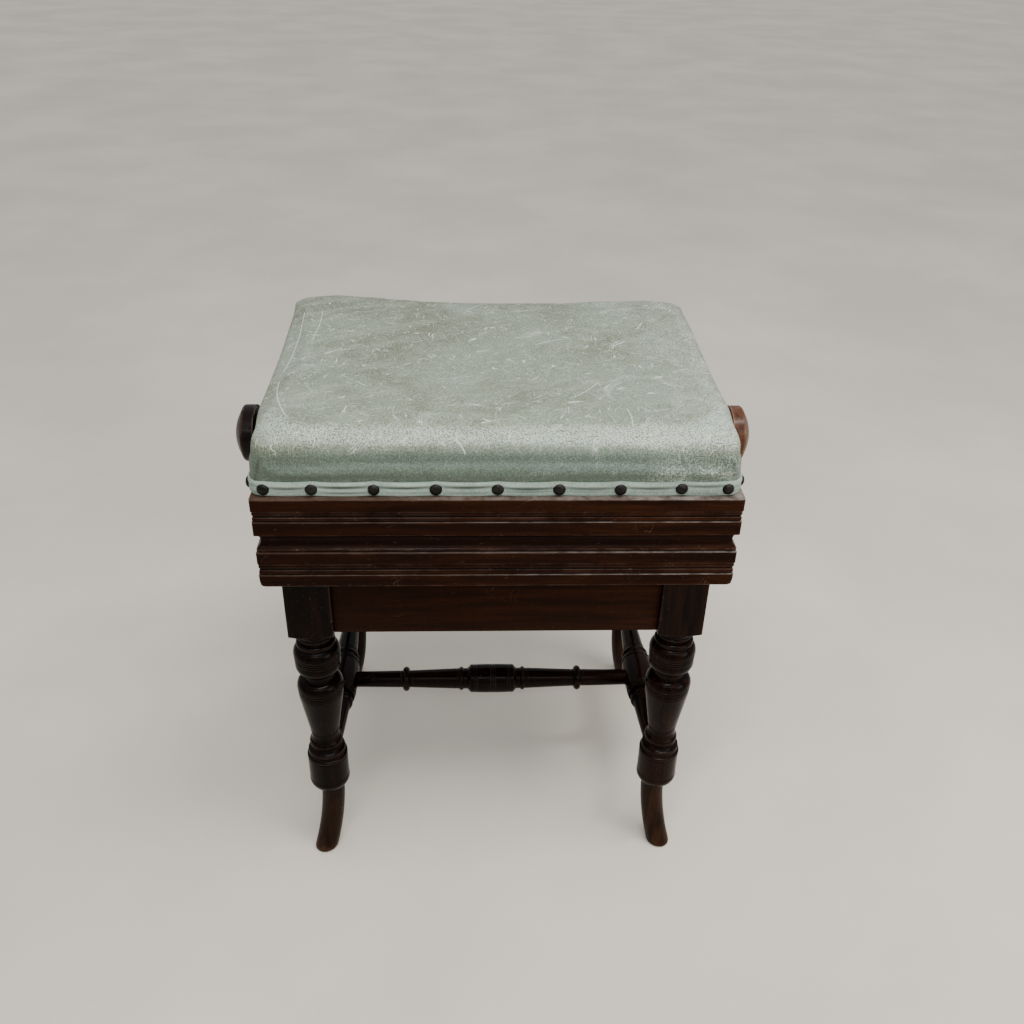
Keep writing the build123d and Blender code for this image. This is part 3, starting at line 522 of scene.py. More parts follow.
foot_colours = ((0.008, 0.0032, 0.0014), (0.040, 0.0155, 0.0065), (0.12, 0.062, 0.033))
foot_finish = polished_wood("foot_mahogany", "Z", *foot_colours, 0.26, 0.06)
foot_radius, foot_splay, foot_inset, toe_rounding = 12.7, 18, 3, 4
rub_reach, most_darkening, darkening_foot, darkening_top = 16, 0.35, 70, 90
swing = (foot_top**2 + foot_splay**2) / (2 * foot_splay)
foot_angles = np.linspace(0, 2 * pi, 48, endpoint=False)
foot_rise = np.r_[np.linspace(0, toe_rounding, 10)[:-1], np.linspace(toe_rounding, foot_top, 60)]
under_toe = np.maximum(toe_rounding - foot_rise, 0)
foot_section = foot_radius - toe_rounding + np.sqrt(toe_rounding**2 - under_toe**2)
for corner, (x, y) in leg_places.items():
    outward = np.array((np.sign(x), np.sign(y), 0)) / sqrt(2)
    across = np.cross((0, 0, 1), outward)
    # each level ring of a bent round bar: the arc's angle at which a point of the section,
    # at its own distance from the arc's centre, comes down to that level
    from_centre = swing - foot_section[:, None] * np.cos(foot_angles)
    drop = np.arcsin((foot_top - foot_rise)[:, None] / from_centre)
    out = swing - from_centre * np.cos(drop)
    side = foot_section[:, None] * np.sin(foot_angles)
    foot_points = (
        np.array((x, y, 0))
        + (out - foot_inset)[..., None] * outward
        + side[..., None] * across
        + foot_rise[:, None, None] * np.array((0, 0, 1))
    )
    rubbed_toe = np.exp(-foot_rise / rub_reach)[:, None] * (0.75 + 0.25 * ripple(foot_points, 9, 5))
    # the foot grows darker towards its top, under the drum
    darker_near_top = most_darkening * ramp(foot_rise, darkening_foot, darkening_top)[:, None]
    foot = skin(f"swept_foot_{corner}", foot_points, {"wear": rubbed_toe, "grime": darker_near_top})
    fitted(foot, foot_finish, "base", "foot_wood", f"foot_{corner}")


# ---- stretchers --------------------------------------------------------------------------
# Turned stretchers, an H between the drums. Each side one has a bulb between two rings and is
# socketed in the drums; the cross one has a scribed barrel and two beads, and joins the bulbs.

stretcher_height = 119.5
side_half, side_shoulder = 130.7, 118.7


def mirrored(half):
    """An outline given from the middle outwards, drawn on both sides of the middle."""
    half = np.array(half, float)
    return np.vstack((half[::-1] * (-1, 1), half[1:]))


side_stretch = [
    arc((0, 19.3), (15.5, 18.88), (31, 17.6)),
    [(31, 14), (36, 14)],
    arc((36, 14), (40, 16.4), (44, 13.8)),
    [(44, 13.8), (side_shoulder, 9.5), (side_half, 9.5)],
]
side_line = worn_outline([mirrored(np.vstack(side_stretch))], turning_step, turning_rounding)
side_wear_and_painted_light = scribed(side_line, (-27, -24, 24, 27, -47, 47, -51, 51))
cross_stretch = [
    arc((0, 17.5), (13, 17.38), (26, 17)),
    [(30, 12.6), (35, 12.6)],
    bead_arc(35, 40, 12.6, 14.4),
    [(101, 10.3)],
    bead_arc(101, 109, 10.3, 15),
    [(109, 10.3), (164, 9.4), (176, 9.4)],
]
cross_line = worn_outline([mirrored(np.vstack(cross_stretch))], turning_step, turning_rounding)
cross_wear_and_painted_light = scribed(cross_line, (-112, -98, -43, -22, -19, -3, 0, 3, 18, 21, 43, 98, 112))
round_angles = np.linspace(0, 2 * pi, 64, endpoint=False)
side_finish = polished_wood("side_stretcher_mahogany", "Y", *leg_colours, 0.14, 0.06)
cross_finish = polished_wood("cross_stretcher_mahogany", "X", *leg_colours, 0.15, 0.07)
side_stretcher = side_line, side_wear_and_painted_light, (0, 1, 0), side_finish
cross_stretcher = cross_line, cross_wear_and_painted_light, (1, 0, 0), cross_finish
for name, (line, (wear, grime), axis, finish) in (
    ("left", side_stretcher), ("right", side_stretcher), ("centre", cross_stretcher)
):
    low, high = millimetres(f"stretcher_{name}")
    middle = ((low + high) / 2) * (1, 1, 0) + (0, 0, stretcher_height)
    points = turned_points(line[:, 0], line[:, 1:], round_angles, middle, axis)
    piece = skin(f"turned_stretcher_{name}", points, {"wear": wear[:, None], "grime": grime[:, None]})
    fitted(piece, finish, "base", "mahogany", f"stretcher_{name}")


# ---- rails -------------------------------------------------------------------------------
# Plain rails tenoned between the blocks, their edges eased by planing and by use. The side
# rails have a notch for the screw.


def eased(node, edge):
    """A copy of a made piece with its loose triangles joined and its sharp edges rounded over."""
    mesh = nodes[node].data.copy()
    work = bmesh.new()
    work.from_mesh(mesh)
    bmesh.ops.remove_doubles(work, verts=work.verts, dist=1e-5)
    bmesh.ops.dissolve_limit(work, angle_limit=radians(0.5), verts=work.verts, edges=work.edges)
    sharp = [e for e in work.edges if len(e.link_faces) == 2 and e.calc_face_angle(0) > radians(40)]
    bmesh.ops.bevel(work, geom=sharp, offset=edge, segments=2, profile=0.5, affect="EDGES")
    work.to_mesh(mesh)
    work.free()
    for name in ("custom_normal", "sharp_face", "sharp_edge"):
        if name in mesh.attributes:
            mesh.attributes.remove(mesh.attributes[name])
    mesh.shade_smooth()
    mesh.set_sharp_from_angle(angle=radians(40))
    piece = bpy.data.objects.new(f"{node}_eased", mesh)
    scene.collection.objects.link(piece)
    return piece


def wood_by_side(name, *looks):
    """The same polished wood for each side of the box, its grain along that side."""
    along_x = polished_wood(f"long_{name}_mahogany", "X", *looks)
    along_y = polished_wood(f"short_{name}_mahogany", "Y", *looks)
    return {"front": along_x, "back": along_x, "left": along_y, "right": along_y}


rail_colours = ((0.0095, 0.0024, 0.0005), (0.034, 0.0092, 0.0022), (0.07, 0.035, 0.02))
for name, finish in wood_by_side("rail", *rail_colours, 0.32, 0.035).items():
    fitted(eased(f"rail_{name}", 0.0009), finish, "base", "mahogany", f"rail_{name}")


# ---- pivot rods, sleeves and arms --------------------------------------------------------
# Two iron rods across the base carry the arms' lower eyes, kept apart by loose sleeves. The arms
# are flat iron bar with an eye at each end, left black from the forge and oiled.


def dull_iron(name, bright, rust):
    """Forged iron: grey-black scale with brighter rubbed patches and thin rust in the lows."""
    finish, place, shader = new_finish(name, {"Metallic": 0.85, "Specular IOR Level": 0.4})
    patches = between(noise(place, 45, 5, 0.65), 0.35, 0.7)
    pits = between(noise(place, 380, 3, 0.6), 0.55, 0.7)
    bare = mixed(patches, (0.035, 0.033, 0.032), bright)
    rusty = mixed(pits * rust, bare, (0.09, 0.035, 0.014))
    drive(
        shader,
        base_color=rusty,
        roughness=0.42 + 0.2 * pits + 0.12 * patches,
        normal=bumped(patches * 0.5 - pits * 0.4, 0.0002),
    )
    return finish


iron_finish = dull_iron("oiled_iron", (0.10, 0.098, 0.095), 0.55)
arm_finish = dull_iron("forged_arm_iron", (0.075, 0.072, 0.07), 0.7)
for side in ("left", "right"):
    for node in (f"pivot_rod_{side}", f"rod_sleeves_{side}"):
        nodes[node].data.materials.clear()
        nodes[node].data.materials.append(iron_finish)
    for end in ("front", "back"):
        node = f"arm_{side}_{end}"
        fitted(eased(node, 0.0006), arm_finish, f"arms_{side}", "iron", node)


# ---- nuts and washers --------------------------------------------------------------------
# Two cast nuts with a trunnion each way, riveted over washers in the arms' upper eyes.

for side in ("left", "right"):
    for node in (f"nut_{side}", f"nut_washers_{side}"):
        fitted(eased(node, 0.0005), iron_finish, f"nut_{side}", "iron", node)


# ---- screw -------------------------------------------------------------------------------
# One turned steel bar from knob to knob, with a left-hand thread on its left half, a right-hand
# one on its right half, and a thicker plain middle where the nuts stop.

screw_height = 460.5
screw_radius, screw_middle, spigot = 8, 9.5, 6
thread_pitch, thread_depth = 25.4 / 11, 1.25
thread_start, thread_end, middle_end = 116.5, 166, 114.67
spigot_start, screw_end = 225, 256
screw_finish, place, shader = new_finish("turned_steel", {"Metallic": 0.95})
turning_marks = noise(stretched(place, (40, 1, 1)), 60, 2)
stain = between(noise(place, 26, 5, 0.6), 0.4, 0.7)
drive(
    shader,
    base_color=mixed(stain, (0.30, 0.29, 0.275), (0.13, 0.10, 0.075)),
    roughness=0.32 + 0.25 * stain + 0.1 * turning_marks,
    normal=bumped(turning_marks, 0.00008),
)
threaded = np.arange(thread_start - 2, thread_end + 2, thread_pitch / 8)
half_rise = np.r_[
    middle_end - 0.6, middle_end, threaded, spigot_start, spigot_start + 0.01, screw_end
]
screw_rise = np.unique(np.r_[-half_rise, half_rise])
screw_angles = np.linspace(0, 2 * pi, 28, endpoint=False)
# a ridge that climbs one pitch a turn, the other way round on the left half
turn_share = screw_angles[None, :] / (2 * pi) * np.sign(screw_rise)[:, None]
phase = (screw_rise[:, None] / thread_pitch - turn_share) % 1
groove = np.clip(1.5 * (1 - np.abs(2 * phase - 1)) - 0.25, 0, 1)
out = np.abs(screw_rise)
cut = ramp(out, thread_start, thread_start + 2) * ramp(-out, -thread_end, 2 - thread_end)
bar = np.where(out > spigot_start, spigot, np.where(out < middle_end, screw_middle, screw_radius))
bar = bar[:, None] - thread_depth * groove * cut[:, None]
screw_points = turned_points(screw_rise, bar, screw_angles, (0, 0, screw_height), (1, 0, 0))
screw_piece = skin("threaded_screw", screw_points)
fitted(screw_piece, screw_finish, "screw", "screw_steel", "screw_shaft")


# ---- moulded boards and bushes -----------------------------------------------------------
# The box's four boards, one run of moulding mitred at the corners: two rows of reeds, a cove
# with a quirk under it, and plain bands between. An iron bush in each side board carries the
# screw.

box_top, box_foot, board = 486.9, 392.1, 15
reed_depth, reed_crest, cove_depth, cove_lip, quirk_depth = 2.2, 0.5, 4.8, 0.9, 2.4
reed_rows = ((417.4, 6.3), (474.3, 5.7))  # the top of each pair and the height of one reed
moulding_step = 0.3
face_start = 9  # the moulded face is worn from here out, and the inside is flat
board_wave, arris_dent, mitre_rounding, more_at_foot = 0.10, 0.35, 2.5, 3.5
foot_round, foot_cut = 1.5, 0.44


def reed_row(top, height):
    """Two reeds sunk in the face, from the lower one up."""
    deep, crest = board - reed_depth, board - reed_crest
    rows = [[(board, top - 2 * height), (deep, top - 2 * height)]]
    for foot in (top - 2 * height, top - height):
        rows.append(arc((deep, foot), (crest, foot + height / 2), (deep, foot + height)))
    return rows + [[(deep, top), (board, top)]]


lip = board - cove_lip
moulding = worn_outline(
    [
        [(0, box_foot), (board - foot_round, box_foot)],
        arc(
            (board - foot_round, box_foot),
            (board - foot_cut, box_foot + foot_cut),
            (board, box_foot + foot_round),
            7,
        ),
        *reed_row(*reed_rows[0]),
        [(board, 429.3), (board - quirk_depth, 430.5), (lip, 431.7), (lip, 433.5)],
        arc((lip, 433.5), (board - cove_depth, 441.25), (lip, 449), 25),
        [(lip, 449), (board, 449)],
        *reed_row(*reed_rows[1]),
        [(board, box_top), (0, box_top)],
    ],
    moulding_step,
    0.22,
)
moulding_wear_and_highlight, moulding_grime_and_shade = worn_and_grimy(moulding, moulding_step, 0)
# the dark in the quirks is widened, partly as dirt and partly as painted shade
moulding_grime_and_shade = np.clip(2.2 * moulding_grime_and_shade, 0, 1)
on_top = moulding[:, 1] > box_top - 0.25
near_top_arris = bell(np.hypot(moulding[:, 0] - board, moulding[:, 1] - box_top), 1.3)
near_foot_arris = bell(np.hypot(moulding[:, 0] - board, moulding[:, 1] - box_foot), 1.6)
# just under the top of each reed a pale line is painted, as a painted highlight, over the arrises'
# rubbed wear
reed_crests = [top - row * height for top, height in reed_rows for row in (0, 1)]
painted_crest_highlight = sum(bell(moulding[:, 1] - crest + 1.0, 0.55) for crest in reed_crests)
arrises = np.maximum(near_top_arris, 0.6 * near_foot_arris)
moulding_wear_and_highlight = np.maximum(np.maximum(0.6 * moulding_wear_and_highlight, arrises), 0.75 * painted_crest_highlight)
# on the top, the part more than 7.5 mm back from the face, under the band, is painted a little darker
# as painted shade, and the rest of the top is left clean
moulding_grime_and_shade = np.where(on_top, 0.2 * (moulding[:, 0] < board - 7.5), moulding_grime_and_shade)

frieze_colours = ((0.0080, 0.0017, 0.0003), (0.036, 0.0092, 0.0018), (0.090, 0.055, 0.040))
frieze_finishes = wood_by_side("board", *frieze_colours, 0.17, 0.055, 0.85)
box_low, box_high = millimetres("frieze_front")
half_width, half_depth = box_high[0], -box_low[1]
for name, outward in (("front", (0, -1)), ("back", (0, 1)), ("left", (-1, 0)), ("right", (1, 0))):
    outward = np.array((*outward, 0), float)
    along = np.cross(outward, (0, 0, 1))
    half_across, half_length = (half_width, half_depth) if outward[0] else (half_depth, half_width)
    near_end = 1 - np.array((0, 0.5, 1, 1.6, 2.3, 3.2, 4.4, 6)) / half_length
    shares = np.r_[-near_end, np.linspace(-near_end[-1], near_end[-1], 106)[1:-1], near_end[::-1]]
    # the mitred corner is rounded over, most of all at its foot
    rounding = mitre_rounding + more_at_foot * bell(moulding[:, 1] - box_foot, 5)
    rounding = rounding * (moulding[:, 0] > face_start)
    from_end = half_length * (1 - np.abs(shares[:, None]))
    eased_over = rounding / 4 * np.clip(1 - from_end / rounding.clip(0.1), 0, 1) ** 2
    # a point's distance along the board shrinks by as much as it lies behind the face, which
    # leaves both ends on their mitres
    reach = shares[:, None] * (half_length - board + moulding[:, 0] - eased_over)
    points = (
        outward * (half_across - board + moulding[:, 0] - eased_over)[..., None]
        + reach[..., None] * along
        + moulding[:, 1:] * np.array((0, 0, 1))
    )
    inward = board_wave * ripple(points, 60, 11)
    inward += arris_dent * near_top_arris * np.clip(ripple(points, 14, 12), 0, 1)
    points -= outward * (inward * (moulding[:, 0] > face_start))[..., None]
    piece = skin(f"moulded_board_{name}", points, {"wear": moulding_wear_and_highlight, "grime": moulding_grime_and_shade})
    fitted(piece, frieze_finishes[name], "seat", "mahogany", f"frieze_{name}")

for side in ("left", "right"):
    fitted(eased(f"bush_{side}", 0.0004), iron_finish, "seat", "iron", f"bush_{side}")


# ---- seat board and glue blocks ----------------------------------------------------------
# A sawn pine board closes the box, and rubbed-in pine blocks hold it to the mouldings. Both show
# from below only.

pine_finish, place, shader = new_finish("sawn_pine", {"Specular IOR Level": 0.25})
rings = noise(stretched(place, (1, 9, 9)), 12, 4, 0.6, 1.2)
saw_marks = noise(stretched(place, (30, 1, 1)), 12, 2)
drive(
    shader,
    base_color=mixed(between(rings, 0.3, 0.7), (0.33, 0.21, 0.11), (0.20, 0.11, 0.05)),
    roughness=0.7 + 0.2 * saw_marks,
    normal=bumped(saw_marks, 0.0003),
)
fitted(eased("seat_board", 0.001), pine_finish, "seat", "pine", "seat_board")
for name in ("front", "back", "left", "right"):
    fitted(eased(f"glue_blocks_{name}", 0.001), pine_finish, "seat", "pine", f"glue_blocks_{name}")


# ---- stuffing and leather cover ----------------------------------------------------------
# Hair stuffing under one sage-green hide, stretched over the pad and nailed to the board's edge.
# The hide is pleated round each corner, and its roll is painted pale, partly as rubbed wear
# and partly as a painted highlight.

pad_half = np.array((219.6, 171.0))
pad_corner, wall_bulge, roll_inset, crown_rise = 14, 3, 26, 4
roll_power, front_power = 5, 2.3  # of the superellipse that the roll follows
corner_insets, corner_radii = (0, 1.5, 6, roll_inset), (17, 19, 34, 46)
cover_foot, wall_foot, roll_foot, roll_height = 485.8, 502.8, 520.5, 24
side_draw = 2.5
pad_stretch = np.array((1.006, 1, 1))
pad_shift = np.array((-1.6, 0, 0))  # nailed on a little to the left
grid_half = 120  # cells from the middle of the pad to the cover's lower edge


def pad_profile():
    """Sideways inset and height of the pad from its middle to its lower edge: a low crown, a
    quarter ellipse at the roll, a bulge and an upright foot. Returns shares, insets, heights."""
    turn = np.linspace(pi / 2, 0, 40)
    flat = pad_half[1] + wall_bulge - roll_inset
    crown = np.linspace(0, 1, 60)
    down_wall = np.linspace(0, 1, 12)[1:]
    insets = np.r_[
        pad_half[1] + wall_bulge - flat * crown[:-1],
        roll_inset * (1 - np.cos(turn)),
        wall_bulge * down_wall**2 * (3 - 2 * down_wall),
        wall_bulge,
    ]
    heights = np.r_[
        roll_foot + roll_height + crown_rise * (1 - crown[:-1] ** 2),
        roll_foot + roll_height * np.sin(turn),
        np.linspace(roll_foot, wall_foot, 12)[1:],
        cover_foot,
    ]
    walked = np.r_[0, np.cumsum(np.hypot(np.diff(insets), np.diff(heights)))]
    return walked / walked[-1], insets, heights


def rounded_side(half_along, half_across, corner, share):
    """One side of a rounded rectangle, from the middle of one corner to the middle of the next:
    share runs from -1 to 1. Gives the place along the side, across it, and the turn there."""
    straight = half_along - corner
    walked = share * (straight + corner * pi / 4)
    turn = np.clip((np.abs(walked) - straight) / corner, 0, pi / 4)
    along = np.sign(walked) * (np.minimum(np.abs(walked), straight) + corner * np.sin(turn))
    across = half_across - corner * (1 - np.cos(turn))
    return along, across, np.sign(walked) * turn


def between_values(value, low, high):
    """0 below low, 1 above high, and a smooth step from one to the other."""
    share = ramp(value, low, high)
    return share * share * (3 - 2 * share)


def pad_grid(half_count):
    """The pad's surface as a square sheet: ring after ring of cells round the middle. A cell's
    ring gives its inset and height, and its place in the ring gives its side and share."""
    index = np.arange(-half_count, half_count + 1)
    i, j = np.meshgrid(index, index, indexing="xy")
    ring_share = np.maximum(abs(i), abs(j)) / half_count
    shares, insets, heights = pad_profile()
    set_in = np.interp(ring_share, shares, insets)
    height = np.interp(ring_share, shares, heights)
    side_x = abs(j) >= abs(i)  # front and back sides run along X
    place_in_ring = np.where(side_x, i, j) / np.maximum(np.maximum(abs(i), abs(j)), 1)
    # the roll is a quarter ellipse along the front and a squarer one along the other sides
    along_front = (side_x & (j < 0)) * (1 - between_values(abs(place_in_ring), 0.70, 0.98))
    power = roll_power - (roll_power - front_power) * along_front
    on_roll = (height > roll_foot) & (set_in < roll_inset)
    out_share = np.where(on_roll, 1 - ramp(set_in, 0, roll_inset), 1)
    up_share = np.where(on_roll, ramp(height, roll_foot, roll_foot + roll_height), 0)
    fuller = (out_share**power + up_share**power) ** (-1 / power)
    set_in = np.where(on_roll, roll_inset - roll_inset * out_share * fuller, set_in)
    height = np.where(on_roll, roll_foot + roll_height * up_share * fuller, height)
    widest = pad_half + wall_bulge
    on_crown = set_in > roll_inset
    in_crown = np.clip((widest[1] - set_in) / (widest[1] - roll_inset), 0, 1)
    half_x, half_y = (
        np.where(on_crown, (wide - roll_inset) * in_crown, wide - set_in) for wide in widest
    )
    # the corners' radius grows from the wall's to the roll's, and shrinks again over the crown
    on_the_roll = np.interp(set_in, corner_insets, corner_radii)
    corner = np.where(on_crown, np.maximum(half_y * 0.30, 1e-3), on_the_roll)
    corner = np.where(height < roll_foot, pad_corner + wall_bulge - set_in, corner)
    corner = np.minimum(corner, half_y)
    half_along = np.where(side_x, half_x, half_y)
    half_across = np.where(side_x, half_y, half_x)
    along, across, turn = rounded_side(half_along, half_across, np.maximum(corner, 1e-3), place_in_ring)
    drawn = side_draw * ramp(height, wall_foot, wall_foot + 18) * np.clip(1.4 - set_in / 60, 0, 1)
    across = across - drawn * np.maximum(1 - (along / np.maximum(half_along, 1)) ** 2, 0)
    sign = np.where(side_x, np.sign(j), np.sign(i))
    x = np.where(side_x, along, sign * across)
    y = np.where(side_x, sign * across, along)
    return np.stack((x, y, height), axis=-1), set_in


def swollen(points, pressure, most):
    """Where simulated cloth with air under it moves the points of the sheet: held along its
    nailed edge, blown until the last frame, each point moving no more than most."""
    last_frame = 20
    piece = skin("pressed_cloth", points, closed=False, caps=False)
    held = piece.vertex_groups.new(name="nailed")
    nailed = np.nonzero(points[..., 2].ravel() < wall_foot + 1)[0].tolist()
    held.add(nailed, 1.0, "REPLACE")
    cloth = piece.modifiers.new("cloth", "CLOTH")
    cloth.settings.vertex_group_mass = "nailed"
    cloth.settings.use_pressure = True
    cloth.settings.uniform_pressure_force = pressure
    cloth.settings.effector_weights.gravity = 0
    for stiffness, value in (("tension", 40), ("compression", 40), ("shear", 20), ("bending", 2)):
        setattr(cloth.settings, f"{stiffness}_stiffness", value)
    cloth.point_cache.frame_start = 1
    cloth.point_cache.frame_end = last_frame
    for step in range(1, last_frame + 1):
        scene.frame_set(step)
    seen = piece.evaluated_get(bpy.context.evaluated_depsgraph_get())
    moved = np.empty(points.size, np.float32)
    seen.data.vertices.foreach_get("co", moved)
    shift = moved.reshape(points.shape) * 1000 - points
    bpy.data.objects.remove(piece)
    scene.frame_set(1)
    length = np.linalg.norm(shift, axis=-1, keepdims=True)
    return shift * np.minimum(1, most / np.maximum(length, 1e-6))


def finer(field, times):
    """Values between the points of a square grid, drawn straight along each line."""
    for axis in (0, 1):
        old = np.arange(field.shape[axis])
        new = np.linspace(0, old[-1], old[-1] * times + 1)
        low = np.minimum(new.astype(int), old[-1] - 1)
        part = (new - low).reshape([-1 if a == axis else 1 for a in range(3)])
        field = np.take(field, low, axis) * (1 - part) + np.take(field, low + 1, axis) * part
    return field


cover_points, cover_inset = pad_grid(grid_half)
coarse_points, _ = pad_grid(grid_half // 2)
air_pressure, most_swell = 3, 3
cover_points = cover_points + finer(swollen(coarse_points, air_pressure, most_swell), 2)

# the stuffing's own lumps, and a dip along the middle of each edge
x, y, z = np.moveaxis(cover_points, -1, 0)  # views, so they follow the points
above_wall = ramp(z, wall_foot, wall_foot + 40)
lump, lump_sink, dimple, edge_dip = 0.8, 0.5, 0.35, 2
in_plan = cover_points * (1, 1, 0)
cover_points[..., 2] += above_wall * (lump * ripple(in_plan, 120, 21) - lump_sink)
cover_points[..., 2] += above_wall * dimple * ripple(in_plan, 45, 22)
dip = np.clip(1 - (x / pad_half[0]) ** 2, 0, 1) * np.clip(abs(y) / pad_half[1], 0, 1) ** 6
cover_points[..., 2] -= above_wall * edge_dip * dip * np.clip(1.15 - cover_inset / 60, 0, 1)

# the stuffing has been pushed back and to the left, where the pad stands highest
back_rise, back_left_rise = 3.5, 3.5
pushed = back_rise + back_left_rise * between_values(-x, 20, 190)
cover_points[..., 2] += above_wall * between_values(y, -40, 150) * pushed

# the pleat: round each corner the hide lies double, to an edge on the front or back wall
pleat_edge, pleat_thickness, pleat_roll, pleat_shadow_width = 212, 1.3, 0.9, 1.1
on_wall = ramp(z, cover_foot + 12, cover_foot + 16) * ramp(-z, -roll_foot - 10, -roll_foot)
on_wall = on_wall * (abs(y) > pad_half[1] - 3)
doubled = ramp(abs(x), pleat_edge, pleat_edge + pleat_roll) * on_wall
cover_points[..., 1] += np.sign(y) * pleat_thickness * doubled
# along the pleat's edge a thin dark line is painted, as the painted shadow of its step
pleat_shadow = bell(abs(x) - pleat_edge, pleat_shadow_width) * on_wall

# the stuffing bulges at the sides, and the front corners and the back right one are drawn in
front_draw, back_right_draw, side_swell, draw_span = 7, 4, 1.2, 220
drawn_in = front_draw * (1 - between_values(y, -170, -85)) - side_swell
drawn_in += back_right_draw * between_values(y, 100, 170) * (x > 0)
towards_side = (abs(x) / draw_span) ** 3
cover_points[..., 0] -= np.sign(x) * ramp(z, wall_foot, wall_foot + 22) * towards_side * drawn_in

# the roll is painted pale, partly as rubbed wear and partly as a painted highlight, most of
# all along the front, and the wall under it is painted darker blue-green, as painted shade
rub_and_sheen_inset, rub_and_sheen_width, rub_and_sheen_foot = 14, 13, 525
rub_and_sheen = bell(cover_inset - rub_and_sheen_inset, rub_and_sheen_width) * ramp(z, rub_and_sheen_foot, rub_and_sheen_foot + 10)
rub_and_sheen *= 0.12 + 0.3 * between_values(x, 100, 200) + 0.88 * between_values(-y, 90, 150)
wall_shade = 1 - ramp(z, rub_and_sheen_foot, rub_and_sheen_foot + 13)
cover_paint = {"rub_and_sheen": rub_and_sheen, "pleat_shadow": pleat_shadow, "wall": wall_shade}
cover_points = cover_points * pad_stretch + pad_shift


def closed_pad(name, points, low, paint):
    """A pad's open sheet with a flat underside at the height low, tucked in a little."""
    tuck_x, tuck_y = 0.985, 0.982
    piece = skin(name, points, paint, closed=False, caps=False)
    work = bmesh.new()
    work.from_mesh(piece.data)
    rim = [e for e in work.edges if e.is_boundary]
    new = bmesh.ops.extrude_edge_only(work, edges=rim)["geom"]
    floor_points = [v for v in new if isinstance(v, bmesh.types.BMVert)]
    for v in floor_points:
        v.co.z = low / 1000
        v.co.x *= tuck_x
        v.co.y *= tuck_y
    bmesh.ops.holes_fill(work, edges=[e for e in work.edges if e.is_boundary], sides=0)
    bmesh.ops.recalc_face_normals(work, faces=work.faces)
    work.to_mesh(piece.data)
    work.free()
    piece.data.shade_smooth()
    piece.data.set_sharp_from_angle(angle=radians(60))
    return piece


leather_finish, place, shader = new_finish("sage_hide", {"Specular IOR Level": 0.42})
rub_and_sheen_wire = painted(place, "rub_and_sheen")
pleat_shadow_wire = painted(place, "pleat_shadow")
wall_shade_wire = painted(place, "wall")


def scratch(place, start, end, bow, width):
    """A bowed scratch seen from above: 1 on the line from start to end, whose middle stands off
    by bow, and 0 beyond its width. All in metres."""
    (x0, y0), (x1, y1) = start, end
    length = sqrt((x1 - x0) ** 2 + (y1 - y0) ** 2)
    px = share_along(place, "X") - x0
    py = share_along(place, "Y") - y0
    ux, uy = (x1 - x0) / length, (y1 - y0) / length
    share = (px * ux + py * uy) / length
    off = py * ux - px * uy - 4 * bow * share * (1 - share)
    ends = between(share, 0, 0.06) * between(1 - share, 0, 0.06)
    return (1 - between(abs(off), width * 0.3, width)) * ends


def hairlines(place, turn, scale, shift, share):
    """Fine, nearly straight marks in one direction: where noise, drawn far out, crosses its middle
    value. They break off where a wider noise is low, and share says how much of them is left."""
    drawn = stretched(place, (1, 26, 1), (0, 0, turn), (shift, shift, 0))
    line = 1 - between(abs(noise(drawn, scale, 1, 0.4) - 0.5), 0.0, 0.010)
    broken = noise(stretched(place, (1, 1, 1), (0, 0, 0), (0, shift, shift)), 62, 3)
    return line * between(broken, 0.99 - share, 1.07 - share)


def near(place, spot, inner, outer):
    """1 within inner metres of a spot on the pad's top, 0 beyond outer."""
    inputs = {0: place, 1: (*spot, 0.546)}
    away = place.node("VectorMath", {"operation": "DISTANCE"}, inputs, "Value")
    return 1 - between(away, inner, outer)


cloud = between(noise(place, 6.5, 5, 0.62, 0.6), 0.38, 0.62)
smoke = between(noise(stretched(place, (1, 1.7, 1), (0, 0, 0.5)), 13, 6, 0.7, 0.8), 0.42, 0.72)
grain = place.node("TexVoronoi", {"feature": "F1"}, {"Vector": place, "Scale": 620.0}, "Distance")
grit = noise(place, 780, 2, 0.7)
fine = noise(place, 1500, 2, 0.6)
speckle = between(grit, 0.42, 0.62)
pits = between(grit, 0.52, 0.36)
patches = between(noise(place, 17, 6, 0.72, 1.0), 0.48, 0.66)
at_left = between(0.0 - share_along(place, "X"), -0.02, 0.2)
brushed = between(noise(stretched(place, (1, 9, 1), (0, 0, 0.4)), 7, 6, 0.65), 0.46, 0.66)
brushed = brushed * (0.3 + 0.7 * at_left)
wander = place.node("TexNoise", {}, {"Vector": place, "Scale": 22.0, "Detail": 1.0}, "Color")
bend = {0: wander, 1: (0.016, 0.016, 0), 2: place}
bent = place.node("VectorMath", {"operation": "MULTIPLY_ADD"}, bend)
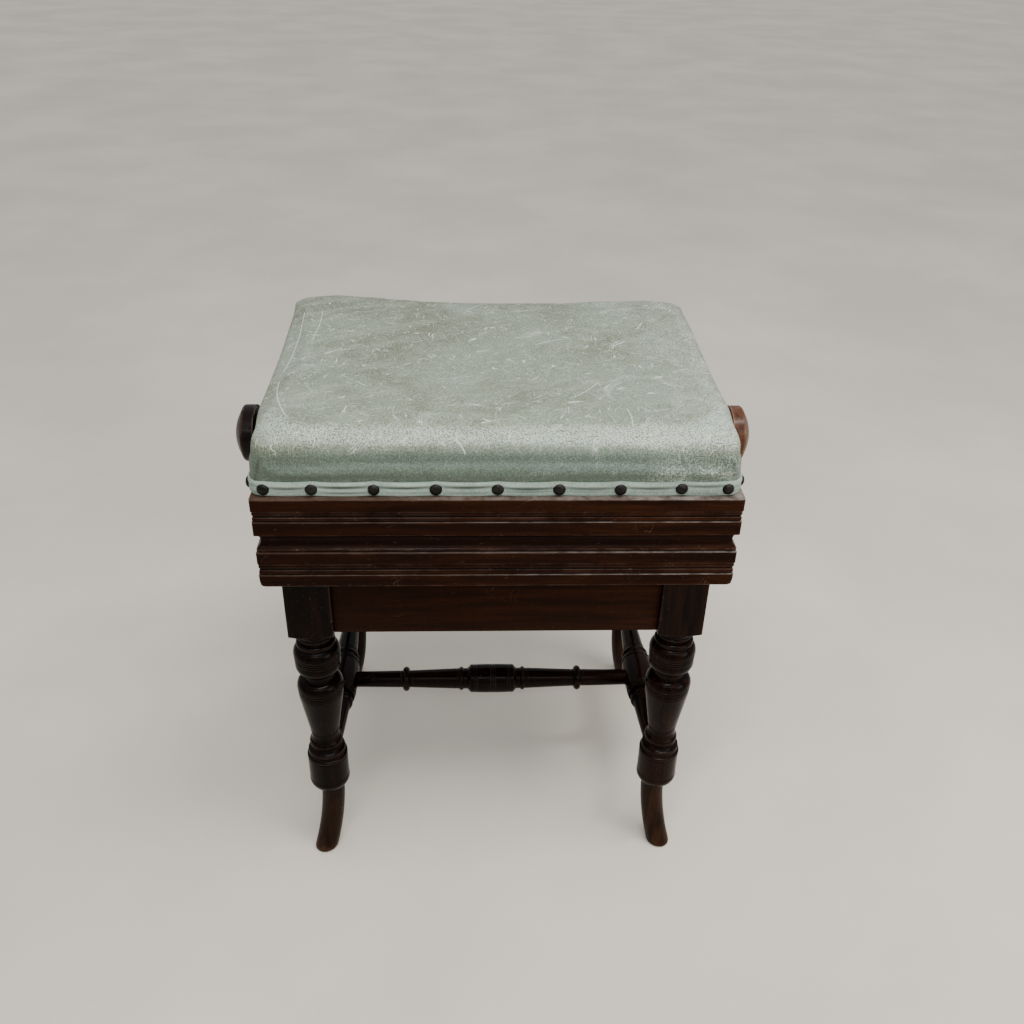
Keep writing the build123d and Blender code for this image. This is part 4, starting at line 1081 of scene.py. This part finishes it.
# each layer's direction, scale and shift
layers = (0.5, 6, 0.1), (-0.9, 7, 0.37), (1.45, 6, 0.73), (0.15, 6, 1.1), (-0.35, 8, 1.7), (1, 6, 2.3)
fine_layers = (0.8, 12, 2.1), (-0.5, 13, 2.6), (0.25, 14, 3.3), (-1.2, 13, 3.9)
marks = sum(hairlines(bent, *layer, 0.46) for layer in layers) * (1 - 0.8 * wall_shade_wire)
fine_marks = sum(hairlines(bent, *layer, 0.54) for layer in fine_layers) * (1 - wall_shade_wire)
single_scratches = (
    ((-0.206, 0.111), (-0.209, -0.037), 0.003, 0.0007),
    ((-0.209, -0.050), (-0.188, -0.137), -0.005, 0.0008),
    ((-0.187, 0.111), (-0.190, 0.031), 0.003, 0.0006),
    ((-0.034, 0.104), (-0.008, 0.146), 0.002, 0.0006),
    ((0.097, -0.064), (0.066, -0.100), 0.003, 0.0007),
    ((0.117, -0.118), (0.119, -0.146), 0.001, 0.0008),
    ((0.018, 0.112), (0.060, 0.133), -0.003, 0.0006),
    ((-0.050, -0.150), (-0.030, -0.168), 0.001, 0.0007),
    ((0.040, 0.020), (0.072, 0.036), 0.002, 0.0007),
)
long_marks = sum(scratch(place, *single) for single in single_scratches)

olive = (0.118, 0.125, 0.072)
sage = (0.215, 0.255, 0.180)
pale = (0.50, 0.565, 0.475)
shaded_wall_green = (0.058, 0.094, 0.071)
faded = between(share_along(place, "X"), 0.0, 0.22)
stain = near(place, (-0.143, 0.132), 0.01, 0.07) * (0.5 + 0.5 * smoke)
handled = near(place, (0.026, -0.033), 0.0, 0.07) + near(place, (0.087, -0.079), 0.0, 0.05)
# the roll's paleness is partly rubbed wear and partly a painted highlight
pale_rub_and_sheen = between(rub_and_sheen_wire * (0.75 + 0.3 * smoke), 0.1, 1.0)
greyed = between(0.45 * faded + 0.35 * patches + 0.3 * handled * smoke, 0.0, 1.0)
pale_wear_and_sheen = between(pale_rub_and_sheen * (0.25 + 0.9 * speckle) + greyed * (0.35 + 0.65 * speckle), 0.03, 1.0)
scratched = between(marks, 0, 1)
hide_colour = layered(
    mixed(cloud, olive, sage),
    (stain * 0.75, (0.12, 0.12, 0.078)),
    # the wall under the roll is painted darker blue-green, as painted shade
    (wall_shade_wire * 0.9, shaded_wall_green),
    (speckle * (0.38 - 0.18 * wall_shade_wire), (0.38, 0.43, 0.335)),
    (brushed * (0.36 - 0.34 * wall_shade_wire), (0.40, 0.43, 0.33)),
    (pale_wear_and_sheen, pale),
    (pits * (0.5 + 0.2 * rub_and_sheen_wire), (0.070, 0.085, 0.060)),
    (between(fine_marks, 0, 1) * 0.65, (0.50, 0.53, 0.46)),
    (scratched * 0.9, (0.66, 0.69, 0.62)),
    (between(long_marks, 0, 1) * 0.75, (0.66, 0.68, 0.61)),
    # the pleat's edge is darkened as a painted shadow
    (pleat_shadow_wire * 0.8, (0.035, 0.045, 0.035)),
)
pebbles = grain * 0.6 + fine * 0.3 - scratched * 0.15
drive(
    shader,
    base_color=hide_colour,
    roughness=0.46 + 0.12 * speckle - 0.06 * pale_rub_and_sheen,
    normal=bumped(pebbles, 0.00035, bumped(patches, 0.0004)),
)

cushion = closed_pad("leather_cushion", cover_points, cover_foot, cover_paint)
fitted(cushion, leather_finish, "seat", "leather", "leather_cover", "seat_stuffing")


# ---- leather band ------------------------------------------------------------------------
# A narrow strip of the same hide, folded thin, covers the cover's raw edge. Each nail pins it,
# and it sags and wrinkles from nail to nail.

band_foot, band_height, band_thickness = 487.1, 15.5, 1.2
nail_z, front_nails, side_nails = 494.3, 9, 7
end_nail_inset, end_nail_gap, side_nail_inset = 13.1, 42.1, 14

end_x = pad_half[0] - end_nail_inset
nail_xs = np.r_[-end_x, np.linspace(-1, 1, front_nails - 2) * (end_x - end_nail_gap), end_x]
nail_ys = np.linspace(-1, 1, side_nails) * (pad_half[1] - side_nail_inset)


def round_the_pad(offset, step):
    """A walk round the pad's foot, that far outside it: places, outward directions, the distance
    walked, and the distance at which each nail is passed."""
    places, directions, distances, nails = [], [], [], []
    start = 0
    for side in range(4):
        half_along, half_across = pad_half if side % 2 == 0 else pad_half[::-1]
        corner = pad_corner + offset
        length = 2 * (half_along - pad_corner + corner * pi / 4)
        share = np.linspace(-1, 1, int(length / step), endpoint=False)
        along, across, turn = rounded_side(half_along + offset, half_across + offset, corner, share)
        ahead = np.array(((1, 0), (0, 1), (-1, 0), (0, -1))[side])
        out = np.array(((0, -1), (1, 0), (0, 1), (-1, 0))[side])
        places.append(along[:, None] * ahead + across[:, None] * out)
        directions.append(np.cos(turn)[:, None] * out + np.sin(turn)[:, None] * ahead)
        distances.append(start + (share + 1) / 2 * length)
        nails.append(start + length / 2 + (nail_xs if side % 2 == 0 else nail_ys))
        start += length
    return np.vstack(places), np.vstack(directions), np.hstack(distances), np.hstack(nails), start


band_places, band_out, walked, nails_passed, round_length = round_the_pad(0.15, 1.2)
nails_passed = np.sort(nails_passed)
stops = np.r_[nails_passed[-1] - round_length, nails_passed, nails_passed[0] + round_length]
span = np.searchsorted(stops, walked, side="right") - 1
from_nail = (walked - stops[span]) / (stops[span + 1] - stops[span])
slack = np.clip((stops[span + 1] - stops[span]) / 50, 0.3, 1)
sag = (4 * from_nail * (1 - from_nail)) ** 0.8 * slack
draw = np.random.default_rng(31)
fold_place, fold_size, second_fold = (
    draw.uniform(low, high, len(stops))[span] for low, high in ((-0.08, 0.08), (0.7, 1.3), (0.2, 1))
)

across = np.linspace(0, 1, 23)[:, None]  # from the band's foot to its top edge
swell = 0.55 * np.sin(pi * across) ** 0.5
valley = bell(across - 0.58 - fold_place, 0.10) * fold_size
ridge = bell(across - 0.80 - fold_place, 0.09) * fold_size
low_fold = bell(across - 0.22 + fold_place, 0.08) * second_fold
pinned = bell(np.minimum(from_nail, 1 - from_nail), 0.16) * bell(across - 0.52, 0.35)
outer = band_thickness + swell + sag * (0.8 * ridge - 1.0 * valley - 0.6 * low_fold) - 0.4 * pinned
lift = 1.1 * (1 - sag)
band_z = band_foot + lift * (1 - across) + across * (band_height - 1.7 + lift * 1.3)
inner_face, outer_face = (
    np.stack((*(band_places + out[..., None] * band_out).transpose(2, 0, 1), band_z), axis=-1)
    for out in (0 * outer, outer)
)
band_points = np.concatenate((inner_face, outer_face[::-1]), axis=0).transpose(1, 0, 2)
# the folds' valleys are painted dark on the outer face, as painted shade
fold_shade_paint = np.concatenate((0 * outer, (sag * (valley + 0.7 * low_fold))[::-1]), axis=0).T
band_finish, place, shader = new_finish("band_hide", {"Specular IOR Level": 0.3})
painted_fold_shade = painted(place, "painted_fold_shade")
nap = noise(place, 900, 3, 0.7)
faded = between(noise(place, 28, 4, 0.6), 0.3, 0.7)
band_colour = layered(
    mixed(faded, (0.20, 0.265, 0.215), (0.31, 0.385, 0.325)),
    (between(nap, 0.45, 0.65) * 0.5, (0.54, 0.62, 0.54)),
    # dark in the folds' valleys, as painted shade
    (painted_fold_shade * 0.85, (0.035, 0.058, 0.043)),
)
drive(
    shader,
    base_color=band_colour,
    roughness=0.6 + 0.15 * nap,
    normal=bumped(nap, 0.0003),
)
band_points = band_points * pad_stretch + pad_shift
band = skin("nailed_band", band_points, {"painted_fold_shade": fold_shade_paint}, ring=True)
fitted(band, band_finish, "seat", "leather", "leather_band")


# ---- upholstery nails --------------------------------------------------------------------
# Domed nails, blacked bronze over brass, driven one by one, so that no two sit quite alike.

nail_radius, nail_height = 5.6, 3.3
nail_finish, place, shader = new_finish("black_bronze", {"Metallic": 0.9})
tarnish = between(noise(place, 130, 4, 0.65), 0.35, 0.7)
rough_spots = noise(place, 900, 2)
drive(
    shader,
    base_color=mixed(tarnish, (0.013, 0.012, 0.012), (0.032, 0.028, 0.026)),
    roughness=0.30 + 0.14 * tarnish + 0.12 * rough_spots,
    normal=bumped(rough_spots * 0.6 + tarnish * 0.6, 0.00025),
)
draw = np.random.default_rng(41)
face_y = pad_half[1] + band_thickness
face_x = pad_half[0] + band_thickness
# each nail's place on the band and the way it faces, seen from above
nail_rows = [(x, sign * face_y, 0, sign) for sign in (-1, 1) for x in nail_xs]
nail_rows += [(sign * face_x, y, sign, 0) for sign in (-1, 1) for y in nail_ys]
nail_centres, nail_out = np.hsplit(np.array(nail_rows, float), 2)
nail_centres = nail_centres * pad_stretch[:2] + pad_shift[:2]
nail_count = len(nail_centres)
nail_out = np.column_stack((nail_out, np.zeros(nail_count)))
tilt = draw.normal(0, 0.05, (nail_count, 2))
nail_side = np.cross((0, 0, 1), nail_out)
nail_axis = nail_out + tilt[:, :1] * nail_side + tilt[:, 1:] * (0, 0, 1)
nail_axis /= np.linalg.norm(nail_axis, axis=1, keepdims=True)
nail_side = np.cross((0, 0, 1), nail_axis)
nail_side /= np.linalg.norm(nail_side, axis=1, keepdims=True)
nail_up = np.cross(nail_axis, nail_side)
up_dome = np.linspace(0.12, 1.53, 11)
ring_radius = np.r_[nail_radius - 0.5, nail_radius, nail_radius * np.cos(up_dome)]
ring_rise = np.r_[-0.4, -0.1, nail_height * np.sin(up_dome)]
nail_angles = np.linspace(0, 2 * pi, 24, endpoint=False)
size = draw.uniform(0.96, 1.03, nail_count)
flat_ring = (
    np.cos(nail_angles)[:, None] * nail_side[:, None, :]
    + np.sin(nail_angles)[:, None] * nail_up[:, None, :]
)
heads = np.column_stack((nail_centres, nail_z + draw.normal(0, 0.35, nail_count)))
nail_points = (
    heads[:, None, None, :]
    + (size[:, None] * ring_radius)[:, :, None, None] * flat_ring[:, None, :, :]
    + ring_rise[None, :, None, None] * nail_axis[:, None, None, :]
)
nails = skin("domed_nails", nail_points)
fitted(nails, nail_finish, "seat", "nail_brass", "dome_nails")


# ---- knobs and pins ----------------------------------------------------------------------
# Turned knobs pinned through their collars to the screw's ends: a beaded collar, a hollow neck,
# a broad rim and a domed face. The right one is coloured paler and warmer than the left.

knob_collar, knob_neck, flare_end, rim_end, knob_end = 7, 13, 22, 33, 44.5
collar_radius, neck_radius, rim_radius = 16, 11.5, 29.8
rim_rounding = 3.5
face_radius = rim_radius - rim_rounding
face_rise = knob_end - rim_end - rim_rounding
sphere = (face_radius**2 + face_rise**2) / (2 * face_rise)
knob_line = worn_outline(
    [
        [(0, neck_radius)],
        bead_arc(0, knob_collar, neck_radius, collar_radius),
        [(knob_collar, neck_radius), (knob_neck, neck_radius)],
        swept((knob_neck, neck_radius), (flare_end, rim_radius), True),
        [(flare_end, rim_radius), (rim_end, rim_radius)],
        swept((rim_end, rim_radius), (rim_end + rim_rounding, face_radius), True),
        arc(
            (rim_end + rim_rounding, face_radius),
            (knob_end - sphere + sqrt(sphere**2 - face_radius**2 / 4), face_radius / 2),
            (knob_end, 0.2),
            31,
        ),
    ],
    turning_step,
    0.3,
)
knob_wear, knob_grime = worn_and_grimy(knob_line, turning_step)
knob_wear = np.maximum(knob_wear, 0.5 * bell(knob_line[:, 0] - rim_end - 2, 3))
knob_radius = np.maximum(knob_line[:, 1:], 0.15)
knob_dark_colours = ((0.005, 0.0022, 0.0014), (0.020, 0.009, 0.0055), (0.10, 0.062, 0.042))
knob_light_colours = ((0.045, 0.015, 0.007), (0.15, 0.058, 0.027), (0.30, 0.18, 0.11))
dark_knob = polished_wood("dark_knob_mahogany", "Z", *knob_dark_colours, 0.22, 0.11)
light_knob = polished_wood("light_knob_mahogany", "Z", *knob_light_colours, 0.24, 0.2)
for side, sign, finish, slot in (
    ("left", -1, dark_knob, "knob_wood_dark"),
    ("right", 1, light_knob, "knob_wood_light"),
):
    low, high = millimetres(f"knob_{side}")
    start = high[0] if sign < 0 else low[0]
    middle = (start, 0, screw_height)
    points = turned_points(knob_line[:, 0], knob_radius, round_angles, middle, (sign, 0, 0))
    paint = {"wear": knob_wear[:, None], "grime": knob_grime[:, None]}
    knob = skin(f"turned_knob_{side}", points, paint)
    fitted(knob, finish, "screw", slot, f"knob_{side}")
nodes["knob_pins"].data.materials.clear()
nodes["knob_pins"].data.materials.append(screw_finish)
